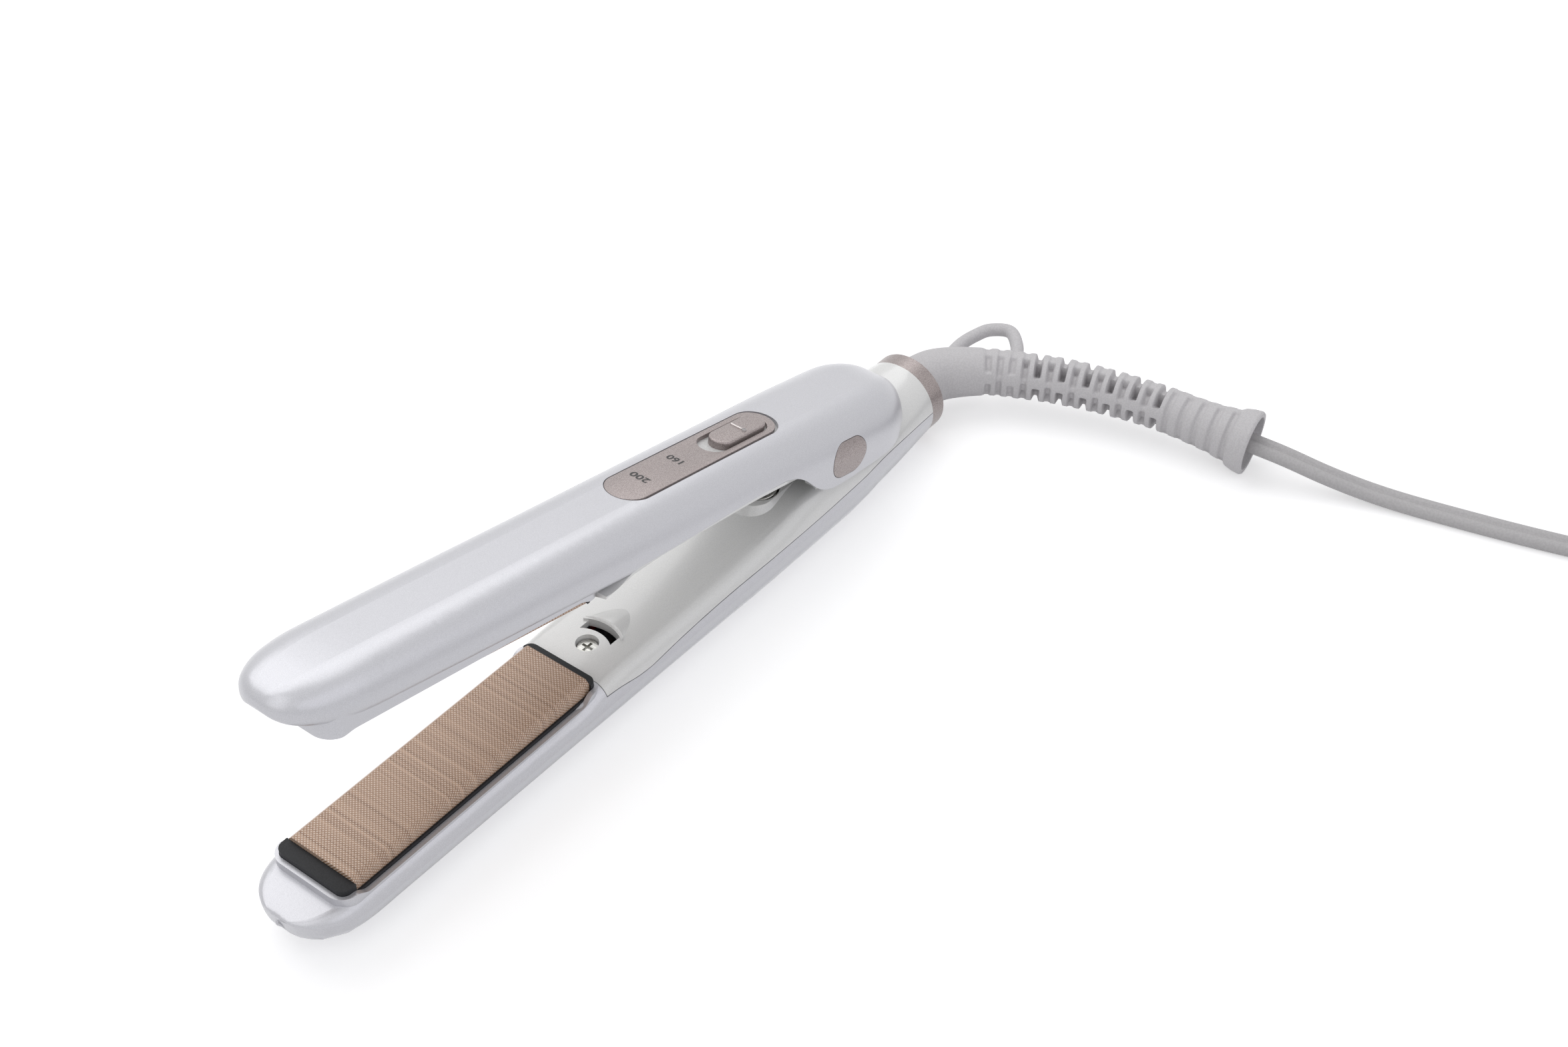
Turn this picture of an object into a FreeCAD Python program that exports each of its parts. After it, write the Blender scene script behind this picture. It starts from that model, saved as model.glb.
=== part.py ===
import FreeCAD, Part
import Sketcher
import math
import os
import re
from FreeCAD import Vector

# Mini hair straightener, shown open, as an assembly of its separate pieces. Millimetres, +Z up.

# Driving sizes. X runs from the tip (-X) to the cord end (+X), and Y across the arms.
# Heights named "depth" are measured from the plane where the two plates meet.
sizes = {
    "arm_reach": 102.0,
    "plate_plane": 16.2,
    "hinge_x": 59.74,
    "hinge_z": 23.9,
    "open_angle": 14.1,
    "casing_wall": 1.6,
    "seam_gap": 0.06,
    "lower_cover_gap": 0.18,
    "upper_cover_gap": 0.15,
    "tip_reach": 100.4,
    "lower_nose_length": 14.6,
    "lower_nose_power": 2.28,
    "lower_nose_axis": 5.6,
    "upper_nose_length": 21.2,
    "upper_nose_power": 2.48,
    "upper_nose_axis": 8.2,
    "cavity_start": 1.2,
    "cavity_rise": 0.5,
    "cavity_slope": 8.0,
    "dome_length": 16.0,
    "dome_reach": 89.5,
    "dome_power": 2.2,
    "dome_axis": 10.0,
    "dome_clearance": 0.2,
    "plate_rear": -21.9,
    "plate_length": 66.0,
    "plate_half": 8.8,
    "plate_bevel": 0.9,
    "plate_web": 1.6,
    "plate_fit": 0.04,
    "plate_skirt": 1.2,
    "plate_depth": 4.6,
    "gasket_front_bar": 3.4,
    "gasket_rear_bar": 2.0,
    "gasket_side": 0.5,
    "gasket_fit": 0.05,
    "gasket_corner": 2.0,
    "gasket_bar_depth": 1.0,
    "gasket_side_depth": 3.2,
    "gasket_seat": 5.0,
    "ledge_wall": 1.6,
    "ledge_width": 1.1,
    "rim_wall": 1.15,
    "rim_corner": 4.0,
    "lower_rim_front": 2.3,
    "lower_rim_side_front": 3.95,
    "lower_rim_side_rear": 3.95,
    "lower_rim_rear": 2.2,
    "upper_rim_front": 1.4,
    "upper_rim_side_front": 2.0,
    "upper_rim_side_rear": 3.3,
    "upper_rim_rear": 2.6,
    "rim_root": 7.0,
    "notch_front": -89.5,
    "notch_front_run": 4.5,
    "notch_rear": -22.0,
    "notch_rear_run": 4.0,
    "heater_length": 50.0,
    "heater_half": 5.0,
    "heater_thickness": 1.8,
    "clamp_length": 54.0,
    "clamp_half": 5.2,
    "clamp_thickness": 1.1,
    "carrier_inset": 0.5,
    "carrier_side_gap": 0.15,
    "carrier_thickness": 2.4,
    "cushion_radius": 2.6,
    "cushion_height": 2.0,
    "cushion_spread": 40.0,
    "cushion_post_radius": 3.1,
    "cover_start": -19.84,
    "cover_screw_x": -12.6,
    "screw_head_radius": 2.2,
    "screw_head_height": 1.3,
    "screw_head_depth": 2.8,
    "screw_shank_radius": 1.1,
    "screw_length": 8.5,
    "screw_recess": 0.7,
    "recess_arm": 1.35,
    "recess_half": 0.32,
    "screw_bore_radius": 2.5,
    "screw_boss_radius": 3.5,
    "screw_hole_radius": 1.3,
    "screw_post_gap": 0.05,
    "slot_centre_x": -16.0,
    "slot_inner_radius": 7.2,
    "slot_width": 2.4,
    "slot_half_chord": 4.2,
    "slot_rim_width": 0.6,
    "slot_rim_height": 0.5,
    "tongue_gap": 0.5,
    "tongue_reach": 3.5,
    "tongue_half_chord": 3.4,
    "upper_cover_end": 37.5,
    "upper_cover_inset": 0.4,
    "upper_cover_lip": 0.8,
    "upper_cover_wall": 1.5,
    "spring_x": 44.8,
    "spring_radius": 3.5,
    "spring_wire": 0.9,
    "spring_turns": 6.0,
    "spring_foot": 5.1,
    "spring_top": 21.6,
    "spring_seat_radius": 4.4,
    "spring_peg_radius": 2.6,
    "spring_peg_height": 3.0,
    "pocket_front": 36.5,
    "pocket_half": 6.3,
    "pocket_draft": 1.6,
    "pocket_rim_z": 18.2,
    "pocket_root": 5.0,
    "pocket_hole_half": 4.5,
    "pocket_length": 17.0,
    "base_front": 26.0,
    "base_length": 64.0,
    "base_half": 9.0,
    "shelf_depth": 3.0,
    "shelf_thickness": 1.6,
    "shelf_half": 7.4,
    "shelf_end": 50.0,
    "lug_radius": 4.4,
    "lug_inner": 6.8,
    "lug_outer": 10.0,
    "ear_pad_edge": 0.7,
    "ear_pad_gap": 0.15,
    "lug_foot_half": 9.5,
    "lug_foot_z": 14.5,
    "pin_radius": 2.0,
    "pin_half_length": 12.1,
    "pin_clearance": 0.03,
    "bush_wall": 1.2,
    "badge_length": 12.2,
    "badge_height": 8.2,
    "badge_inner": 12.2,
    "badge_rise": 0.05,
    "badge_room": 4.0,
    "badge_gap": 0.12,
    "ring_radius": 9.8,
    "ring_axis_z": 9.85,
    "ring_bore": 6.85,
    "spigot_radius": 8.05,
    "spigot_length": 3.6,
    "ring_edge": 0.3,
    "neck_radius": 6.78,
    "flange_radius": 7.6,
    "flange_thickness": 2.0,
    "flange_gap": 0.1,
    "collar_radius": 7.8,
    "collar_bore": 4.2,
    "collar_length": 8.0,
    "stem_radius": 2.4,
    "stem_length": 22.0,
    "slip_ring_start": 2.3,
    "slip_ring_radius": 3.0,
    "slip_ring_length": 3.0,
    "slip_ring_pitch": 5.0,
    "finger_gap": 0.2,
    "finger_thickness": 0.5,
    "finger_width": 2.4,
    "switch_tilt": 1.16,
    "switch_pivot_x": 19.0,
    "switch_plate_front": -6.25,
    "switch_plate_rear": 45.4,
    "switch_plate_half": 5.15,
    "switch_plate_top": 16.33,
    "switch_plate_thickness": 0.9,
    "switch_plate_gap": 0.15,
    "switch_slot_front": 22.9,
    "switch_slot_rear": 43.2,
    "switch_slot_half": 3.7,
    "switch_travel": 3.2,
    "knob_front": 26.3,
    "knob_rear": 42.3,
    "knob_half": 2.85,
    "knob_top": 17.23,
    "knob_line_x": 34.7,
    "knob_line_width": 0.6,
    "knob_line_height": 0.3,
    "knob_line_root": 0.1,
    "knob_line_start": -1.0,
    "knob_line_end": 2.1,
    "bead_radius": 0.5,
    "bead_y": -1.5,
    "bead_fit": 0.01,
    "shutter_thickness": 0.6,
    "shutter_gap": 0.08,
    "shutter_half": 4.4,
    "shutter_overlap": 0.6,
    "shutter_end_gap": 0.4,
    "shutter_side_gap": 0.2,
    "shutter_room": 4.0,
    "slider_tab_reach": 2.1,
    "slider_tab_x": 34.3,
    "slider_tab_length": 3.4,
    "slider_tab_half": 0.75,
    "board_depth": 10.2,
    "board_thickness": 1.2,
    "board_front": -5.0,
    "board_rear": 47.0,
    "board_half": 8.4,
    "board_post_x": 4.0,
    "board_post_y": 5.6,
    "board_post_radius": 2.0,
    "board_screw_radius": 1.0,
    "board_screw_head": 1.8,
    "board_screw_head_height": 1.0,
    "board_screw_length": 3.0,
    "board_screw_gap": 0.03,
    "slide_switch_x": 33.2,
    "slide_switch_length": 18.0,
    "slide_switch_half": 3.2,
    "slide_switch_height": 2.4,
    "groove_length": 13.0,
    "groove_half": 1.0,
    "groove_depth": 1.5,
    "lamp_x": 35.5,
    "lamp_y": -4.9,
    "lamp_radius": 1.2,
    "lamp_height": 2.2,
    "triac_x": 9.8,
    "triac_length": 7.0,
    "triac_half": 4.0,
    "triac_height": 2.2,
    "capacitor_x": 17.6,
    "capacitor_length": 5.0,
    "capacitor_half": 2.2,
    "capacitor_height": 3.0,
    "fuse_radius": 1.1,
    "fuse_length": 11.0,
    "fuse_x": -55.0,
    "sensor_radius": 1.0,
    "sensor_length": 5.0,
    "sensor_x": -45.0,
    "lead_radius": 0.6,
    "lead_hole_x": -24.9,
    "lead_hole_y": 3.5,
    "lead_hole_radius": 1.1,
    "lead_y": 6.6,
    "lead_depth": 7.9,
    "elbow_radius": 6.5,
    "elbow_end_radius": 5.8,
    "guard_groove_radius": 4.1,
    "guard_rib_count": 20.0,
    "guard_rib_share": 0.56,
    "guard_slope_share": 0.1,
    "bell_radius": 7.8,
    "bell_length": 3.4,
    "bell_edge": 0.4,
    "loop_radius": 1.6,
    "cord_radius": 2.7,
    "cord_height": 2.76,
    "coil_radius": 42.0,
    "coil_step": 6.8,
    "coil_rise": 6.2,
    "coil_turns": 3.375,
    "plug_length": 26.0,
    "plug_width": 20.0,
    "plug_height": 15.0,
    "plug_edge": 2.5,
    "plug_relief_radius": 4.2,
    "plug_relief_length": 12.0,
    "blade_spacing": 12.7,
    "blade_length": 17.5,
    "blade_width": 6.3,
    "blade_thickness": 1.5,
    "blade_hole_radius": 1.55,
    "blade_hole_reach": 11.5,
}

# Cross-sections of the arms: where each stands, its outer flat's half width, its outer depth, its half width at the
# widest line and that line's depth, and its inner flat's half width and depth.
fields = ("at", "flat", "depth", "half", "waist", "inner_flat", "inner")
stations = {
    "lower": {
        "front": (-86.0, 4.0, 14.6, 11.7, 7.5, 8.6, 3.9),
        "plate": (-56.0, 4.0, 15.1, 11.9, 7.4, 8.6, 3.9),
        "rear": (-28.0, 4.1, 15.5, 12.1, 7.2, 8.6, 3.9),
        "step": (-16.0, 4.2, 15.65, 12.25, 7.1, 8.6, 1.7),
        "middle": (0.0, 4.2, 15.85, 12.4, 7.0, 8.4, 1.6),
        "waistline": (20.0, 4.3, 16.1, 12.75, 6.6, 8.3, 1.2),
        "pocket": (36.0, 4.5, 16.3, 13.0, 6.2, 8.3, 0.0),
        "hinge": (52.0, 4.5, 16.3, 13.0, 6.1, 8.8, -2.0),
        "hip": (66.0, 4.2, 16.3, 12.9, 6.2, 6.4, -2.6),
        "barrel": (76.0, 2.4, 16.3, 12.15, 6.3, 2.8, -2.9),
        "taper": (85.0, 1.4, 16.24, 11.4, 6.3, 1.4, -3.2),
        "ring": (97.4, 0.4, 16.12, 9.9, 6.35, 0.4, -3.5),
    },
    "upper": {
        "front": (-86.0, 4.0, 13.8, 11.5, 7.0, 8.6, 3.9),
        "plate": (-52.0, 4.0, 14.65, 12.0, 7.0, 8.6, 3.9),
        "rear": (-28.0, 4.0, 15.25, 12.2, 7.0, 8.6, 3.9),
        "middle": (0.0, 4.0, 15.95, 12.55, 7.0, 8.6, 3.9),
        "switch": (20.0, 4.0, 16.4, 12.8, 7.0, 9.0, 3.9),
        "brow": (34.0, 4.0, 16.65, 13.05, 7.0, 11.0, 2.0),
        "ear": (46.0, 4.0, 16.85, 13.45, 7.0, 13.0, -1.0),
        "hinge": (60.0, 4.0, 17.0, 13.7, 7.0, 13.4, -1.0),
        "dome": (73.5, 4.0, 17.0, 13.65, 7.0, 13.4, -1.0),
        "end": (89.5, 4.0, 17.0, 13.6, 7.0, 13.4, -1.0),
    },
}
for arm, rows in stations.items():
    for row, numbers in rows.items():
        for field, amount in zip(fields, numbers):
            sizes["%s_%s_%s" % (arm, row, field)] = amount

# Side profiles, each as places along the arm with their depth. The guard's skin is a radius at a share of its length.
profiles = {
    "lower_seam": [(-6.0, 5.8), (14.0, 4.5), (45.0, 4.0), (79.0, 3.8), (99.0, 5.7)],
    "upper_seam": [(-8.0, 6.7), (16.0, 8.4), (28.0, 9.2), (36.0, 9.5)],
    "ear_edge": [(56.5, 1.65), (63.5, 2.2), (75.0, 3.6), (85.5, 6.5), (92.0, 13.5)],
    "upper_cover_face": [(-19.8, 1.4), (0.0, 1.7), (16.0, 2.3), (37.5, 3.0)],
    "upper_cover_flat": [(-19.8, 7.6), (0.0, 7.0), (16.0, 6.8), (37.5, 6.6)],
    "guard_skin": [(0.0, 5.55), (0.35, 5.5), (0.6, 5.2), (0.86, 5.4), (0.95, 6.1), (1.0, 6.9)],
}
for profile, points in profiles.items():
    for index, (along, depth) in enumerate(points, 1):
        sizes["%s_%d_x" % (profile, index)] = along
        sizes["%s_%d_depth" % (profile, index)] = depth

doc = FreeCAD.newDocument("straightener")
sheet = doc.addObject("Spreadsheet::Sheet", "Size")
for row, (name, amount) in enumerate(sizes.items(), 1):
    sheet.set("A%d" % row, name)
    sheet.set("B%d" % row, str(amount))
    sheet.setAlias("B%d" % row, name)
doc.recompute()

pieces = {}
LOWER, UPPER = -1, 1


def bound(text):
    """The text as an expression on the sheet, with every size's name led by the sheet's."""
    return re.sub(r"[a-z_]\w*", lambda word: "Size." + word[0] if word[0] in sizes else word[0], text)


def number(text):
    return float(sheet.evalExpression(bound(text)))


def size(name):
    return float(sheet.get(name))


# Sketches and bodies

PLANES = {"XY": "XY_Plane", "XZ": "XZ_Plane", "YZ": "YZ_Plane"}


def new_body(label):
    made = doc.addObject("PartDesign::Body", label)
    made.Label = label
    pieces[label] = made
    return made


def new_sketch(body, plane, offset="0"):
    sketch = body.newObject("Sketcher::SketchObject", body.Label + "_sketch")
    origin = [part for part in body.Origin.OriginFeatures if part.Role == PLANES[plane]][0]
    sketch.AttachmentSupport = [(origin, "")]
    sketch.MapMode = "FlatFace"
    sketch.setExpression("AttachmentOffset.Base.z", bound(offset))
    return sketch


def hold(sketch, kind, geometry, point, text):
    index = sketch.addConstraint(Sketcher.Constraint(kind, -1, 1, geometry, point, number(text)))
    sketch.setExpression("Constraints[%d]" % index, bound(text))


def draw_polygon(sketch, corners):
    places = [Vector(number(x), number(y), 0) for x, y in corners]
    first = sketch.GeometryCount
    count = len(places)
    for i in range(count):
        sketch.addGeometry(Part.LineSegment(places[i], places[(i + 1) % count]), False)
    for i in range(count):
        sketch.addConstraint(Sketcher.Constraint("Coincident", first + i, 2, first + (i + 1) % count, 1))
    for i, (x, y) in enumerate(corners):
        hold(sketch, "DistanceX", first + i, 1, x)
        hold(sketch, "DistanceY", first + i, 1, y)


def draw_box(sketch, left, right, low, high):
    draw_polygon(sketch, [(left, low), (right, low), (right, high), (left, high)])


def draw_circle(sketch, x, y, radius):
    index = sketch.addGeometry(Part.Circle(Vector(number(x), number(y), 0), Vector(0, 0, 1), number(radius)), False)
    hold(sketch, "DistanceX", index, 3, x)
    hold(sketch, "DistanceY", index, 3, y)
    ring = sketch.addConstraint(Sketcher.Constraint("Radius", index, number(radius)))
    sketch.setExpression("Constraints[%d]" % ring, bound(radius))


def draw_stadium(sketch, left, right, half, y="0"):
    """A slot shape along the sketch's x axis, its round ends reaching left and right."""
    reach = number(half)
    start = number(left) + reach
    end = number(right) - reach
    height = number(y)
    up = Vector(0, 0, 1)
    left_arc = sketch.addGeometry(
        Part.ArcOfCircle(Part.Circle(Vector(start, height, 0), up, reach), math.pi / 2, 3 * math.pi / 2), False)
    right_arc = sketch.addGeometry(
        Part.ArcOfCircle(Part.Circle(Vector(end, height, 0), up, reach), -math.pi / 2, math.pi / 2), False)
    low = sketch.addGeometry(
        Part.LineSegment(Vector(start, height - reach, 0), Vector(end, height - reach, 0)), False)
    high = sketch.addGeometry(
        Part.LineSegment(Vector(end, height + reach, 0), Vector(start, height + reach, 0)), False)
    for one, point, other, end_point in ((left_arc, 2, low, 1), (low, 2, right_arc, 1),
                                         (right_arc, 2, high, 1), (high, 2, left_arc, 1)):
        sketch.addConstraint(Sketcher.Constraint("Tangent", one, point, other, end_point))
    hold(sketch, "DistanceX", left_arc, 3, "%s + %s" % (left, half))
    hold(sketch, "DistanceX", right_arc, 3, "%s - %s" % (right, half))
    hold(sketch, "DistanceY", left_arc, 3, y)
    ring = sketch.addConstraint(Sketcher.Constraint("Radius", left_arc, reach))
    sketch.setExpression("Constraints[%d]" % ring, bound(half))


def pad(body, sketch, length, backward=False, centred=False):
    made = body.newObject("PartDesign::Pad", body.Label + "_pad")
    made.Profile = sketch
    made.setExpression("Length", bound(length))
    made.Reversed = backward
    made.SideType = "Symmetric" if centred else "One side"
    doc.recompute()
    return made


def pocket(body, sketch, depth, backward=False, centred=False):
    before = body.Shape.Volume
    made = body.newObject("PartDesign::Pocket", body.Label + "_pocket")
    made.Profile = sketch
    made.setExpression("Length", bound(depth))
    made.Reversed = backward
    made.SideType = "Symmetric" if centred else "One side"
    doc.recompute()
    if body.Shape.Volume >= before:
        raise ValueError("pocket cuts nothing in " + body.Label)
    return made


def revolve(body, sketch, axis):
    made = body.newObject("PartDesign::Revolution", body.Label + "_turned")
    made.Profile = sketch
    made.ReferenceAxis = (sketch, [axis])
    made.Angle = 360
    doc.recompute()
    return made


def mirror(body, feature, plane):
    made = body.newObject("PartDesign::Mirrored", body.Label + "_mirrored")
    made.Originals = [feature]
    origin = [part for part in body.Origin.OriginFeatures if part.Role == PLANES[plane]][0]
    made.MirrorPlane = (origin, [""])
    body.Tip = made
    doc.recompute()
    return made


def edges_along(shape, direction):
    names = []
    for index, edge in enumerate(shape.Edges, 1):
        if edge.Curve.TypeId == "Part::GeomLine" and edge.tangentAt(edge.FirstParameter).cross(direction).Length < 1e-6:
            names.append("Edge%d" % index)
    return names


def round_edges(body, direction, radius):
    tip = body.Tip
    made = body.newObject("PartDesign::Fillet", body.Label + "_round")
    made.Base = (tip, edges_along(tip.Shape, direction))
    made.setExpression("Radius", bound(radius))
    doc.recompute()
    return made


def free_shape(label, shape):
    made = doc.addObject("Part::Feature", label)
    made.Label = label
    made.Shape = shape
    pieces[label] = made
    return made


ALONG_X, ALONG_Y, ALONG_Z = Vector(1, 0, 0), Vector(0, 1, 0), Vector(0, 0, 1)


# Outer shapes of the arms

def through(points, at):
    """A smooth curve through the points that never overshoots them, read at one place."""
    if at <= points[0][0]:
        return points[0][1]
    if at >= points[-1][0]:
        return points[-1][1]
    slopes = [(b[1] - a[1]) / (b[0] - a[0]) for a, b in zip(points, points[1:])]
    leans = [slopes[0]]
    for before, after in zip(slopes, slopes[1:]):
        leans.append(0.0 if before * after <= 0 else 2 * before * after / (before + after))
    leans.append(slopes[-1])
    i = max(k for k in range(len(points) - 1) if points[k][0] <= at)
    span = points[i + 1][0] - points[i][0]
    part = (at - points[i][0]) / span
    return (points[i][1] * (2 * part ** 3 - 3 * part ** 2 + 1)
            + span * leans[i] * (part ** 3 - 2 * part ** 2 + part)
            + points[i + 1][1] * (3 * part ** 2 - 2 * part ** 3)
            + span * leans[i + 1] * (part ** 3 - part ** 2))


def arm_name(side):
    return "lower" if side == LOWER else "upper"


def profile_points(profile):
    return [(size("%s_%d_x" % (profile, index)), size("%s_%d_depth" % (profile, index)))
            for index in range(1, len(profiles[profile]) + 1)]


def section_sizes(side, at):
    """The arm's section at one place: flat, depth, half, waist, inner flat and inner depth."""
    arm = arm_name(side)
    keys = [[size("%s_%s_%s" % (arm, row, field)) for field in fields] for row in stations[arm]]
    flat, depth, half, waist, inner_flat, inner = [
        through([(key[0], key[column]) for key in keys], at) for column in range(1, len(fields))]
    nose = (at + size("tip_reach")) / size(arm + "_nose_length")
    if nose < 1:
        power = size(arm + "_nose_power")
        swell = (1 - (1 - nose) ** power) ** (1 / power)
        axis = size(arm + "_nose_axis") + (waist - size(arm + "_nose_axis")) * nose
        return (flat * swell, axis + (depth - axis) * swell, half * swell, axis,
                inner_flat * swell, axis - (axis - inner) * swell)
    dome = 1 - (size("dome_reach") - at) / size("dome_length")
    if side == UPPER and dome > 0:
        swell = (1 - dome ** size("dome_power")) ** (1 / size("dome_power"))
        axis = size("dome_axis")
        return flat * swell, axis + (depth - axis) * swell, half * swell, waist, inner_flat * swell, inner
    return flat, depth, half, waist, inner_flat, inner


def quarter(start, corner, end):
    curve = Part.BezierCurve()
    curve.setPoles([start, corner, end])
    curve.setWeight(2, math.sqrt(0.5))
    return curve.toShape()


def arm_section(side, at, grow=0.0, inner_floor=None):
    flat, depth, half, waist, inner_flat, inner = section_sizes(side, at)
    half += grow
    depth += grow
    inner -= grow
    inner_flat = min(inner_flat, half - 0.3)
    if inner_floor is not None:
        inner = max(inner, inner_floor)
        waist = max(waist, inner + size("cavity_rise"))
    far = size("plate_plane") + side * depth
    widest = size("plate_plane") + side * waist
    near = size("plate_plane") + side * inner
    left_far, right_far = Vector(at, -flat, far), Vector(at, flat, far)
    right_wide, left_wide = Vector(at, half, widest), Vector(at, -half, widest)
    right_near, left_near = Vector(at, inner_flat, near), Vector(at, -inner_flat, near)
    return Part.Wire([
        Part.LineSegment(left_far, right_far).toShape(),
        quarter(right_far, Vector(at, half, far), right_wide),
        quarter(right_wide, Vector(at, half, near), right_near),
        Part.LineSegment(right_near, left_near).toShape(),
        quarter(left_near, Vector(at, -half, near), left_wide),
        quarter(left_wide, Vector(at, -half, far), left_far)])


def nose_end(side):
    return size(arm_name(side) + "_nose_length") - size("tip_reach")


def nose_places(side, first):
    """Places along the nose, closer together toward its blunt tip."""
    steps = 8
    start = -size("tip_reach")
    for step in range(steps):
        part = 1 - math.cos(math.pi / 2 * step / steps)
        yield start + size(arm_name(side) + "_nose_length") * max(part, first)


def run_places(start, end, step=6.0):
    count = max(2, round((end - start) / step))
    return [start + (end - start) * i / count for i in range(count + 1)]


def dome_places(last):
    steps = 8
    start = size("dome_reach") - size("dome_length")
    return [start + size("dome_length") * min(math.sin(math.pi / 2 * i / steps), last) for i in range(steps + 1)]


TIP_SHARE = 0.001
DOME_SHARE = 0.995


def lower_outline(grow=0.0):
    places = list(nose_places(LOWER, TIP_SHARE)) + run_places(nose_end(LOWER), size("lower_ring_at"))
    return Part.makeLoft([arm_section(LOWER, at, grow) for at in places], True, False)


def upper_outline(grow=0.0):
    dome = size("dome_reach") - size("dome_length")
    run = run_places(nose_end(UPPER), dome)[:-1]
    places = list(nose_places(UPPER, TIP_SHARE)) + run + dome_places(DOME_SHARE)
    return Part.makeLoft([arm_section(UPPER, at, grow) for at in places], True, False)


def cavity(side, tail):
    """The hollow inside an arm, lower under the plate so that a ledge is left for the gasket."""
    wall = size("casing_wall")
    floor = size("gasket_seat") + size("ledge_wall")
    start = wall + size("cavity_start") - size("tip_reach")
    front = nose_end(side)
    ledge_end = size("cover_start")
    slope_end = ledge_end + size("cavity_slope")
    steps = 4
    nose = [start + (front - start) * step / steps for step in range(steps)]
    sections = []
    for at in nose + run_places(front, tail[0])[:-1] + tail:
        level = through([(ledge_end, floor), (slope_end, section_sizes(side, slope_end)[5] + wall)], at)
        sections.append(arm_section(side, at, -wall, level if at < slope_end else None))
    return Part.makeLoft(sections, True, False)


def height(side, depth):
    return size("plate_plane") + side * depth


def s_curve(start, end):
    """An S between two points, level at both ends."""
    middle = (start.x + end.x) / 2
    curve = Part.BezierCurve()
    curve.setPoles([start, Vector(middle, 0, start.z), Vector(middle, 0, end.z), end])
    return curve.toShape()


def profile_solid(edges, half=20.0):
    """A side profile, given as edges in the XZ plane, drawn out across the arm."""
    face = Part.Face(Part.Wire(edges))
    return face.extrude(Vector(0, 2 * half, 0)).translated(Vector(0, -half, 0))


def chain(points, smooth):
    """Edges through points in the XZ plane; a stretch named in smooth is an S curve."""
    edges = []
    for i in range(len(points)):
        start, end = points[i], points[(i + 1) % len(points)]
        edges.append(s_curve(start, end) if i in smooth else Part.LineSegment(start, end).toShape())
    return edges


def rounded_block(x_start, x_end, half, z_low, z_high, radius):
    block = Part.makeBox(x_end - x_start, 2 * half, z_high - z_low, Vector(x_start, -half, z_low))
    upright = [edge for edge in block.Edges if abs(edge.tangentAt(0).z) > 0.99]
    return block.makeFillet(radius, upright)


def well_half():
    return size("plate_half") + size("gasket_side") + size("gasket_fit")


def well_front():
    return size("plate_rear") - size("plate_length") - size("gasket_front_bar") - size("gasket_fit")


def well_rear():
    return size("plate_rear") + size("gasket_rear_bar") + size("gasket_fit")


def plate_rim(side):
    """The raised lip round the plate, notched along the plate's sides."""
    wall = size("rim_wall")
    start, end = well_front() - wall, well_rear() + wall
    low, high = sorted((height(side, size("rim_root")), height(side, 0)))
    ring = rounded_block(start, end, well_half() + wall, low, high, size("rim_corner"))
    root = height(side, size("rim_root"))
    lips = [height(side, size("%s_rim_%s" % (arm_name(side), place)))
            for place in ("front", "side_front", "side_rear", "rear")]
    front_end = size("notch_front")
    side_start = front_end + size("notch_front_run")
    rear_start = size("notch_rear")
    side_end = rear_start - size("notch_rear_run")
    points = [Vector(start - wall, 0, root), Vector(start - wall, 0, lips[0]), Vector(front_end, 0, lips[0]),
              Vector(side_start, 0, lips[1]), Vector(side_end, 0, lips[2]), Vector(rear_start, 0, lips[3]),
              Vector(end + wall, 0, lips[3]), Vector(end + wall, 0, root)]
    return ring.common(profile_solid(chain(points, (2, 4))))


def plate_well(side):
    """The opening for gasket, plate and carrier, with the gasket's seat as a step in it."""
    seat = height(side, size("gasket_seat"))
    outer = height(side, -2.0)
    deep = height(side, size("rim_root") + 2)
    radius = size("gasket_corner")
    top = rounded_block(well_front(), well_rear(), well_half(), min(seat, outer), max(seat, outer), radius)
    inset = size("ledge_width")
    low = rounded_block(well_front() + inset, well_rear() - inset, well_half() - inset,
                        min(seat, deep), max(seat, deep), radius)
    return top.fuse(low)


def post(side, x, radius, depth, inside):
    """A post that stands on the casing's outer wall and ends at a depth under the plate plane."""
    far = height(side, 20.0)
    near = height(side, depth)
    body = Part.makeCylinder(radius, abs(far - near), Vector(x, 0, min(far, near)))
    return body.common(inside)


def screw_bore(side, x, radius, start, end):
    low, high = sorted((height(side, start), height(side, end)))
    return Part.makeCylinder(radius, high - low, Vector(x, 0, low))


def cushion_places():
    middle = size("plate_rear") - size("plate_length") / 2
    return middle - size("cushion_spread") / 2, middle + size("cushion_spread") / 2


def carrier_depth():
    return size("plate_depth") + size("gasket_fit")


def cushion_seat():
    return carrier_depth() + size("carrier_thickness") + 2 * size("gasket_fit") + size("cushion_height")


def screw_end():
    return size("screw_head_depth") + size("screw_head_height") + size("screw_length")


def cover_seat():
    """Depth where the cover's screw boss ends and the casing's post begins."""
    return size("screw_head_depth") + size("screw_head_height") + 1.6


def casing_posts(side, outer):
    posts = [post(side, x, size("cushion_post_radius"), cushion_seat(), outer) for x in cushion_places()]
    screw_post = post(side, size("cover_screw_x"), size("screw_boss_radius"), cover_seat() + 0.05, outer)
    bore = screw_bore(side, size("cover_screw_x"), size("screw_shank_radius") + 0.02,
                      cover_seat(), screw_end() + 0.3)
    posts.append(screw_post.cut(bore))
    return posts


def side_curve(side, profile):
    curve = Part.BSplineCurve()
    curve.interpolate([Vector(x, 0, height(side, depth)) for x, depth in profile_points(profile)])
    return curve


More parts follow.
